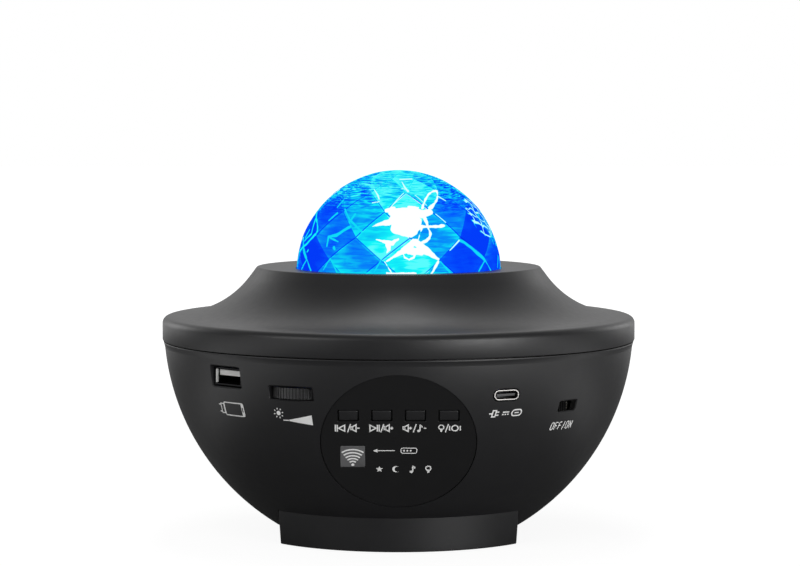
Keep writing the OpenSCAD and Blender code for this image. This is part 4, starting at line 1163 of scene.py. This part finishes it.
# how much each row of facets glows, from its foot up, at some angles beside a lamp's azimuth
ROW_GLOW = (
    ((-46, 0.45), (-14, 0.68), (18, 0.5), (51, 0.2)),
    ((-60, 0.14), (-30, 0.56), (2, 0.82), (35, 0.24), (60, 0.12)),
    ((-46, 0.44), (-14, 0.85), (18, 0.62), (51, 0.12)),
    ((-60, 0.34), (-30, 0.6), (2, 0.85), (35, 0.42), (60, 0.12)),
    ((-46, 0.54), (-14, 0.8), (18, 0.86), (51, 0.5)),
    ((-60, 0.56), (-30, 0.78), (2, 0.86), (35, 0.76), (60, 0.52)),
    ((-46, 0.84), (0, 0.88), (46, 0.8)),
)


def dome_point(elevation, turn, r=DOME_R):
    e, a = math.radians(elevation), math.radians(turn)
    flat = r * math.cos(e)
    return Vector((flat * math.sin(a), -flat * math.cos(a), DOME_Z + r * math.sin(e)))


def dome_facets(r):
    """Every facet's row and its corners, foot, right, top and left."""
    step = 360 / DOME_SIDES
    last = len(DOME_ROWS) - 1

    def at(row, k):
        return dome_point(DOME_ROWS[row], DOME_TURN + step * (k + row % 2 / 2), r)

    for k in range(DOME_SIDES):
        yield 0, ((at(0, k) + at(0, k + 1)) / 2, at(0, k + 1), at(1, k), at(0, k))
        for row in range(1, last):
            right = k + row % 2
            yield row, (at(row - 1, right), at(row, k + 1), at(row + 1, right), at(row, k))
        yield last, (at(last - 1, k), at(last, k + 1), dome_point(90, 0, r), at(last, k))


def between(pairs, x):
    """Value at x on the straight lines between (x, value) pairs."""
    if x <= pairs[0][0]:
        return pairs[0][1]
    for (x0, y0), (x1, y1) in zip(pairs, pairs[1:]):
        if x <= x1:
            return y0 + (y1 - y0) * (x - x0) / (x1 - x0)
    return pairs[-1][1]


def facet_steps():
    """Shares along a facet's side: the groove's width at both ends, even cells between."""
    cells = 1 - 2 * GROOVE_SHARE
    inner = [GROOVE_SHARE + cells * i / FACET_CELLS for i in range(FACET_CELLS + 1)]
    return [0] + inner + [1]


def add_facet(skin, corners, r, depth):
    """Grid of faces over one facet, bulged nearly to the ball, its rim sunk by the groove's depth.
    Gives each face by its cell, and the number of cells along a side."""
    foot, right, top, left = corners
    centre = Vector((0, 0, DOME_Z))
    steps = facet_steps()
    last = len(steps) - 1
    grid = []
    for i, s in enumerate(steps):
        for j, t in enumerate(steps):
            flat = foot.lerp(right, s).lerp(left.lerp(top, s), t)
            out = (flat - centre).normalized()
            point = flat.lerp(centre + out * r, FACET_BULGE)
            if i in (0, last) or j in (0, last):
                point -= out * depth
            grid.append(skin.verts.new(point * MM))
    faces = {}
    for i in range(last):
        for j in range(last):
            k = i * (last + 1) + j
            m = k + last + 1
            faces[i, j] = skin.faces.new((grid[k], grid[m], grid[m + 1], grid[k + 1]))
    return faces, last


def make_dome_skin():
    random.seed(5)
    skin = bmesh.new()
    glow = skin.loops.layers.float.new("facet_glow")
    edge = skin.faces.layers.float.new("edge_glow")
    steps = facet_steps()
    for row, corners in dome_facets(DOME_R):
        middle = sum(corners, Vector()) / 4
        away = math.degrees(math.atan2(middle.x, -middle.y)) - LAMP_TURN
        away = (away + LAMP_LEFT) % LAMP_SPREAD - LAMP_LEFT
        tone = between(ROW_GLOW[row], away) + random.uniform(-TONE_SPREAD, TONE_SPREAD)
        lean_s, lean_t = [random.uniform(-TONE_LEAN, TONE_LEAN) for _ in range(2)]
        rim_glow = random.uniform(0, RIM_GLOW_RISE)
        glint = random.choice(EDGE_LIGHTS)
        faces, last = add_facet(skin, corners, DOME_R, GROOVE_DEPTH)
        for (i, j), face in faces.items():
            for loop, (s, t) in zip(face.loops, ((i, j), (i + 1, j), (i + 1, j + 1), (i, j + 1))):
                across, along = 2 * steps[s] - 1, 2 * steps[t] - 1
                rim = max(abs(across), abs(along))
                loop[glow] = tone + lean_s * across + lean_t * along + rim_glow * (rim ** 3 - 0.4)
            # the grooves on the facet's two lower edges get painted shade, those on its two upper
            # edges a painted glint
            if i == 0 or j == 0:
                face[edge] = EDGE_SHADE
            elif i == last - 1 or j == last - 1:
                face[edge] = glint
    for _, corners in dome_facets(DOME_R - DOME_WALL):
        add_facet(skin, corners, DOME_R - DOME_WALL, 0)
    bmesh.ops.remove_doubles(skin, verts=skin.verts, dist=1e-6)
    # the wall's lower edge, between the outer and the inner skin
    rims = [e for e in skin.edges if len(e.link_faces) == 1]
    bmesh.ops.bridge_loops(skin, edges=rims)
    bmesh.ops.recalc_face_normals(skin, faces=skin.faces)
    mesh = bpy.data.meshes.new("dome_skin")
    skin.to_mesh(mesh)
    skin.free()
    smooth(mesh, 25)
    return mesh


def make_dome_flange():
    """Ring with four drilled ears, moulded with the dome and hidden under the cover."""
    outline, steps = [], 240
    for k in range(steps):
        a = 2 * math.pi * k / steps
        near = (a + math.pi / 4) % (math.pi / 2) - math.pi / 4
        bulge = EAR_R ** 2 - (EAR_AT * math.sin(near)) ** 2
        ear = EAR_AT * math.cos(near) + math.sqrt(bulge) if bulge > 0 else 0
        outline.append((max(FLANGE_R, ear), a))
    inside = [(DOME_R - 1, a) for _, a in outline]
    low, top = FLANGE_LOW, FLANGE_LOW + FLANGE_THICK
    loops = [[(r * math.sin(a), -r * math.cos(a), z) for r, a in radii]
             for z, radii in ((low, outline), (top, outline), (top, inside), (low, inside))]
    drills = []
    for k in range(4):
        a = math.pi / 2 * k
        hole = disc(EAR_AT * math.cos(a), EAR_AT * math.sin(a), EAR_HOLE_R)[0]
        drills.append(capped("drill", [[(x, y, z) for x, y in hole] for z in (low - 1, top + 1)]))
    return cut(loft("dome_flange", loops), *drills)


def vector_calc(tree, operation, *inputs, scale=None, output=0):
    """One vector node; an input may be three numbers or another node's output."""
    node = tree.nodes.new("ShaderNodeVectorMath")
    node.operation = operation
    for k, value in enumerate(inputs):
        if isinstance(value, tuple):
            node.inputs[k].default_value = value
        else:
            tree.links.new(value, node.inputs[k])
    if scale is not None:
        tree.links.new(scale, node.inputs["Scale"])
    return node.outputs[output]


def curved(line):
    """A long line with a rounded point added halfway along each stretch."""
    ends = [line[0]] + line + [line[-1]]
    points = [line[0]]
    for a, b, c, d in zip(ends, ends[1:], ends[2:], ends[3:]):
        points.append(tuple((9 * (q + r) - p - s) / 16 for p, q, r, s in zip(a, b, c, d)))
        points.append(c)
    return points


class DomeChart:
    """Degrees on the dome: x beside a lamp's azimuth, level with it, and y above the horizon."""

    def __init__(self, tree, place, folded=True):
        axes = tree.nodes.new("ShaderNodeSeparateXYZ")
        tree.links.new(place, axes.inputs[0])
        x, y, z = axes.outputs
        up = calc(tree, "SUBTRACT", z, DOME_Z * MM)
        squares = calc(tree, "ADD", calc(tree, "MULTIPLY", x, x), calc(tree, "MULTIPLY", y, y))
        flat = calc(tree, "SQRT", squares)
        turn = calc(tree, "DEGREES", calc(tree, "ARCTAN2", x, calc(tree, "MULTIPLY", y, -1)))
        turn = calc(tree, "SUBTRACT", turn, LAMP_TURN)
        if folded:
            turn = calc(tree, "WRAP", turn, LAMP_SPREAD / 2, -LAMP_SPREAD / 2)
        rise = calc(tree, "ARCTAN2", up, flat)
        self.tree = tree
        self.height = calc(tree, "DEGREES", rise)
        self.side = calc(tree, "MULTIPLY", turn, calc(tree, "COSINE", rise))

    def stroke(self, a, b, wide_a, wide_b, nearest):
        """Degrees outside a round-ended stroke from a to b, or nearest where that is less."""
        tree = self.tree
        ab = (b[0] - a[0], b[1] - a[1], 0)
        share = 1 / (ab[0] ** 2 + ab[1] ** 2)
        # nearest rides along as the third coordinate, so that each stroke waits for the one before
        point = tree.nodes.new("ShaderNodeCombineXYZ")
        for socket, value in zip(point.inputs, (self.side, self.height, nearest)):
            if value is not None:
                tree.links.new(value, socket)
        from_a = vector_calc(tree, "SUBTRACT", point.outputs[0], (a[0], a[1], 0))
        along = vector_calc(tree, "DOT_PRODUCT", from_a, tuple(c * share for c in ab), output=1)
        along = calc(tree, "MULTIPLY", along, 1, clamp=True)
        foot = vector_calc(tree, "SCALE", ab, scale=along)
        away = vector_calc(tree, "MULTIPLY", vector_calc(tree, "SUBTRACT", from_a, foot), (1, 1, 0))
        away = vector_calc(tree, "LENGTH", away, output=1)
        wide = calc(tree, "MULTIPLY_ADD", along, wide_b - wide_a, wide_a)
        away = calc(tree, "SUBTRACT", away, wide)
        return away if nearest is None else calc(tree, "MINIMUM", nearest, away)

    def lines(self, *lines):
        """Distance outside all the strokes; each line is a list of (x, y, half width)."""
        nearest = None
        for line in lines:
            line = curved(line) if len(line) > LONG_LINE else line
            for (x0, y0, w0), (x1, y1, w1) in zip(line, line[1:]):
                nearest = self.stroke((x0, y0), (x1, y1), w0, w1, nearest)
        return nearest


# strokes of painted light as (x, y, half width) in degrees on the dome; first where a lamp burns
# through:
# a ragged spot with arms and two curls, a fin, and the lit facet under it
LAMP_SPOT = [
    [(-6.4, 38, 2.7), (2.7, 38.8, 3.3), (7, 38, 2.7)], [(-5.5, 33, 3.8), (3.9, 32, 4.9)],
    [(-4, 28.6, 4.3), (2.2, 27.3, 4.6), (5.5, 30.3, 3.2)], [(-5.9, 41.3, 0.8), (-9.9, 39.3, 1.3)],
    [(2.4, 42, 1.1), (7.2, 41.2, 0.7)], [(9, 37, 2.5), (13.6, 37.9, 2.1)],
    [(-9, 31.7, 1.9), (-13, 31, 1.1), (-18.6, 29, 0.2)],
    [(5.4, 29.4, 2.1), (11, 29, 0.7), (18, 29, 0.7), (22, 29.4, 0.9)],
    [(9.7, 41, 0.7), (11.7, 46.7, 0.5), (14.2, 51.3, 0.5), (17.4, 53.9, 0.6), (19.8, 53.9, 0.7),
     (20, 50.3, 0.6), (18, 45.2, 0.7), (14.7, 41.3, 1.1)],
    [(11, 34.2, 0.9), (12.3, 28.4, 0.6), (13.4, 25.4, 0.7), (12.7, 22, 0.8), (9.6, 20, 0.7),
     (5.5, 19, 0.5)], [(8.6, 27.6, 0.2), (6.3, 21, 0.2)],
    [(-16.2, 21.5, 0.2), (-12.3, 20.3, 1.1), (-7.9, 19.5, 1.4), (-4.3, 21.7, 0.5)],
    [(-9.9, 18.5, 1.6), (-9.6, 16, 1), (-10.8, 14, 0.2)],
]
LIT_FACET = [
    [(4.3, 20, 1.9), (-2, 14.9, 1.6), (-8, 11.3, 0.7), (-10.9, 9.5, 0.3)],
    [(4.7, 20, 2.1), (10.3, 15.6, 2.1), (15, 11.9, 1.2), (17.7, 10.4, 0.5)],
    [(1.8, 15.3, 2.1), (7.4, 14.8, 2.1)],
    [(-2, 13.8, 0.5), (-1.2, 11.7, 0.4), (1.3, 10.4, 0.4), (4, 11.7, 0.4), (4.8, 13.8, 0.6)],
    [(-12, 9.2, 0.25), (-8, 2.9, 0.3)], [(17.7, 9.3, 0.6), (13.6, 2.8, 0.3)],
    [(-10.5, 2.9, 0.6), (4.8, 2.9, 0.6)],
]
EDGE_GLINTS = [
    [(-0.7, 67, 0.6), (5.5, 67.3, 0.6)], [(-0.2, 64, 0.2), (1, 58, 0.5), (2.6, 54, 0.6)],
    [(-1, 57.2, 0.2), (2.7, 55.3, 0.4)], [(0, 52.6, 0.2), (-7.8, 41.7, 0.25)],
    [(6.2, 51, 0.2), (12.3, 43, 0.2)], [(17.3, 36.8, 0.2), (23.2, 31.4, 0.2)],
    [(-16.3, 55.8, 0.2), (-14.4, 50.8, 0.5), (-13.8, 47.7, 0.4)],
    [(-17.8, 44.8, 0.3), (-13.8, 45.8, 0.3)], [(20.3, 49.4, 0.4), (25, 46, 0.2)],
    [(25, 15.2, 0.2), (31.2, 20.4, 0.4)],
]
BLUE_GLINTS = [
    [(-45, 10.3, 0.2), (-50.3, 3.9, 0.2)], [(-45, 10.3, 0.2), (-40.4, 3, 0.3)],
    [(-13.4, 10.9, 0.2), (-17.9, 3.5, 0.3)], [(18.9, 9, 0.3), (25, 2.5, 0.3)],
    [(51.5, 8.7, 0.3), (45.6, 2.9, 0.3)], [(52, 8.5, 0.2), (58, 3, 0.3)],
    [(31.2, 20.7, 0.7), (34.7, 19.3, 0.6), (39.4, 16.5, 0.6), (45.5, 12.5, 0.9),
     (50.7, 9.3, 0.6)], [(-48, 17, 0.2), (-47, 22.2, 0.5), (-41, 23.5, 0.7), (-31.4, 29, 0.6)],
    [(-45.3, 21.7, 0.5), (-39.8, 19.8, 0.3)], [(-42.5, 16.2, 0.8), (-42, 15.6, 0.5)],
    [(-35.5, 39.7, 0.3), (-32.2, 33.3, 0.5), (-24.4, 25.7, 0.4)],
    [(-28.6, 36.7, 0.5), (-32.2, 31.4, 0.3)], [(-53, 39.8, 0.4), (-59, 33, 0.2)],
    [(-41.3, 37, 0.4), (-48, 32, 0.2)], [(-37.6, 46.6, 0.3), (-42, 40.8, 0.2)],
    [(-40, 3, 0.1), (-10, 3, 0.3)], [(5, 3, 0.3), (25, 3, 0.1)],
]
# a bright fold of painted light far round to the left, on the unfolded chart
LEFT_FOLD = [
    [(-67.6, 36.2, 0.5), (-60.6, 30.2, 0.3), (-57.8, 25.2, 0.3), (-62.7, 21.3, 0.4),
     (-69.5, 17.3, 0.3), (-82.6, 12, 0.6), (-84.7, 4.4, 0.7)],
    [(-64.7, 31.9, 0.7), (-65, 23.3, 0.2), (-75, 18.7, 0.2)],
    [(-70, 25.4, 0.2), (-74.7, 20.8, 0.2)], [(-66.3, 14, 0.3), (-67.6, 12.9, 0.2)],
]
NET_TURN = 72
NET_HEIGHT = 34
NET_R = 8 * MM
NET_END = 9.5 * MM
NET_SETS = ((62, 3.3), (-20, 4.6))
NET_LINE, NET_LINE_END = 0.2, 0.55
NET_LIGHT = 0.95
WAVER_SCALE, WAVER = 170, 2.2


def net_lines(tree, place):
    """A net of painted bright lines on the right: two sets of wavering parallels in a round patch.
    """
    middle = dome_point(NET_HEIGHT, NET_TURN) * MM
    across = Vector((0, 0, 1)).cross(middle).normalized()
    up = (middle - Vector((0, 0, DOME_Z * MM))).normalized().cross(across)
    from_middle = vector_calc(tree, "SUBTRACT", place, tuple(middle))
    waver = calc(tree, "SUBTRACT", noise(tree, place, WAVER_SCALE, detail=1), 0.5)
    waver = calc(tree, "MULTIPLY", waver, WAVER)
    nearest = None
    for lean, gap in NET_SETS:
        angle = math.radians(lean)
        axis = (across * math.cos(angle) + up * math.sin(angle)) / (gap * MM)
        row = vector_calc(tree, "DOT_PRODUCT", from_middle, tuple(axis), output=1)
        row = calc(tree, "FRACT", calc(tree, "ADD", row, waver))
        beside = calc(tree, "ABSOLUTE", calc(tree, "SUBTRACT", row, 0.5))
        beside = calc(tree, "MULTIPLY", beside, gap)
        nearest = beside if nearest is None else calc(tree, "MINIMUM", nearest, beside)
    away = vector_calc(tree, "LENGTH", from_middle, output=1)
    patch = fade(tree, away, NET_R, NET_END, 1, 0)
    return calc(tree, "MULTIPLY", fade(tree, nearest, NET_LINE_END, NET_LINE, 0, NET_LIGHT), patch)


# clouds, streaks and ripples of painted light in the dome's glow
CLOUDS = {"scale": 75, "light": 0.08}
GLOW_STREAKS = {"scale": (110, 110, 800), "dark": -0.17, "light": 0.13}
STREAKS_FROM, STREAKS_TO, STREAKS_LEAST = 0.7, 0.86, 0.25
RIPPLE = {"across": 0.16, "up": 1.1, "light": 0.5, "on_dark": 1.45, "less_on_bright": 1.3}
RIPPLE_LOW, RIPPLE_FULL, RIPPLE_SHARE = 32, 56, 0.9
NOISE_LOW, NOISE_HIGH = 0.36, 0.64
GLOW_LEAST, GLOW_MOST = 0.14, 0.88
EDGE_FROM, EDGE_TO, EDGE_LEAST = 40, 58, 0.15
RAGGED_SCALE = 420


def dome_light(tree, place):
    """How bright the dome's painted glow is, from 0, deep blue, to 1, white."""
    chart = DomeChart(tree, place)
    facet = tree.nodes.new("ShaderNodeAttribute")
    facet.attribute_name = "facet_glow"
    facet = facet.outputs["Fac"]
    edge = tree.nodes.new("ShaderNodeAttribute")
    edge.attribute_name = "edge_glow"

    # each facet's own painted glow under soft clouds and fine streaks of painted light, strongest
    # where it is lit
    cloud = noise(tree, place, CLOUDS["scale"], detail=3, distortion=0.5)
    cloud = fade(tree, cloud, *CLOUD_RANGE, -CLOUDS["light"], CLOUDS["light"])
    glow = calc(tree, "ADD", facet, cloud)
    light_streaks = noise(tree, vector_calc(tree, "MULTIPLY", place, GLOW_STREAKS["scale"]), 1,
                    detail=4, distortion=0.7)
    light_streaks = fade(tree, light_streaks, NOISE_LOW, NOISE_HIGH, GLOW_STREAKS["dark"], GLOW_STREAKS["light"])
    share = fade(tree, facet, STREAKS_FROM, STREAKS_TO, 1, STREAKS_LEAST)
    light_streaks = calc(tree, "MULTIPLY", light_streaks, share)
    glow = calc(tree, "ADD", glow, calc(tree, "MULTIPLY", light_streaks, facet))

    # short level ripples of painted light, as the turning lens throws them, all over the top
    level = tree.nodes.new("ShaderNodeCombineXYZ")
    tree.links.new(calc(tree, "MULTIPLY", chart.side, RIPPLE["across"]), level.inputs["X"])
    tree.links.new(calc(tree, "MULTIPLY", chart.height, RIPPLE["up"]), level.inputs["Y"])
    ripple = noise(tree, level.outputs[0], 1, detail=3, distortion=0.9)
    ripple = fade(tree, ripple, NOISE_LOW, NOISE_HIGH, -RIPPLE["light"], RIPPLE["light"])
    upper = fade(tree, chart.height, RIPPLE_LOW, RIPPLE_FULL, 0, RIPPLE_SHARE)
    share = calc(tree, "MULTIPLY_ADD", facet, -RIPPLE["less_on_bright"], RIPPLE["on_dark"])
    ripple = calc(tree, "MULTIPLY", ripple, share)
    glow = calc(tree, "ADD", glow, calc(tree, "MULTIPLY", ripple, upper))
    glow = calc(tree, "MINIMUM", calc(tree, "MAXIMUM", glow, GLOW_LEAST), GLOW_MOST)
    edge_share = fade(tree, chart.height, EDGE_FROM, EDGE_TO, 1, EDGE_LEAST)
    edge_share = calc(tree, "MULTIPLY", edge.outputs["Fac"], edge_share)
    glow = calc(tree, "MULTIPLY_ADD", glow, edge_share, glow)

    # painted cyan lines where light catches on facet edges, then the painted white of the lamps
    # themselves
    ragged = calc(tree, "SUBTRACT", noise(tree, place, RAGGED_SCALE, detail=4), 0.5)

    def lit(distance, start, full, light, tear=1.0):
        """None at start degrees outside the strokes, all the light at full; tear frays the edge."""
        return fade(tree, calc(tree, "MULTIPLY_ADD", ragged, tear, distance), start, full, 0, light)

    glow = calc(tree, "MAXIMUM", glow, lit(chart.lines(*BLUE_GLINTS), 0.7, 0, 0.74))
    far_chart = DomeChart(tree, place, folded=False)
    fold = lit(far_chart.lines(*LEFT_FOLD), 1, 0, 0.84)
    glow = calc(tree, "MAXIMUM", glow, calc(tree, "MAXIMUM", fold, net_lines(tree, place)))
    fine = fade(tree, chart.lines(*EDGE_GLINTS), 0.5, -0.1, 0, 0.97)
    spot = lit(chart.lines(*LAMP_SPOT, *LIT_FACET), 0.6, -0.1, 1, tear=2.0)
    return calc(tree, "MAXIMUM", glow, calc(tree, "MAXIMUM", fine, spot))


# colour of the lit plastic on a screen, from the darkest blue to the lamps' white
LIT_COLOURS = (
    (0.0, (0, 25, 110)), (0.1, (2, 45, 242)), (0.3, (4, 80, 248)), (0.5, (9, 140, 242)),
    (0.68, (12, 200, 240)), (0.84, (20, 247, 243)), (0.92, (120, 255, 250)), (1.0, (255, 255, 255)),
)
DOME_BLUE = (0.0, 0.012, 0.08)


def linear(shade):
    """A screen shade from 0 to 255 as light."""
    share = shade / 255
    return share / 12.92 if share < 0.04045 else ((share + 0.055) / 1.055) ** 2.4


def dome_material():
    material = bpy.data.materials.new("lit_dome")
    material.use_nodes = True
    material.cycles.emission_sampling = "NONE"
    tree = material.node_tree
    shader = tree.nodes["Principled BSDF"]
    place = tree.nodes.new("ShaderNodeTexCoord").outputs["Object"]
    ramp = tree.nodes.new("ShaderNodeValToRGB")
    elements = ramp.color_ramp.elements
    for k, (position, shades) in enumerate(LIT_COLOURS):
        element = elements[k] if k < 2 else elements.new(position)
        element.position = position
        element.color = (*[linear(shade) for shade in shades], 1)
    # the dome's painted glow, given as emission
    tree.links.new(dome_light(tree, place), ramp.inputs["Fac"])
    tree.links.new(ramp.outputs["Color"], shader.inputs["Emission Color"])
    shader.inputs["Emission Strength"].default_value = 1.0
    shader.inputs["Base Color"].default_value = (*DOME_BLUE, 1)
    shader.inputs["Roughness"].default_value = 0.3
    shader.inputs["Specular IOR Level"].default_value = 0
    return material


def make_dome():
    material = dome_material()
    skin = link_mesh("dome_skin", make_dome_skin())
    skin.data.materials.append(material)
    flange = link_mesh("dome_flange", make_dome_flange())
    flange.data.materials.clear()
    flange.data.materials.append(clear_acrylic)
    for piece in (skin, flange):
        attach(piece, "casing")
        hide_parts("dome_lens")


make_dome()
dress(zinc, "dome_screws")
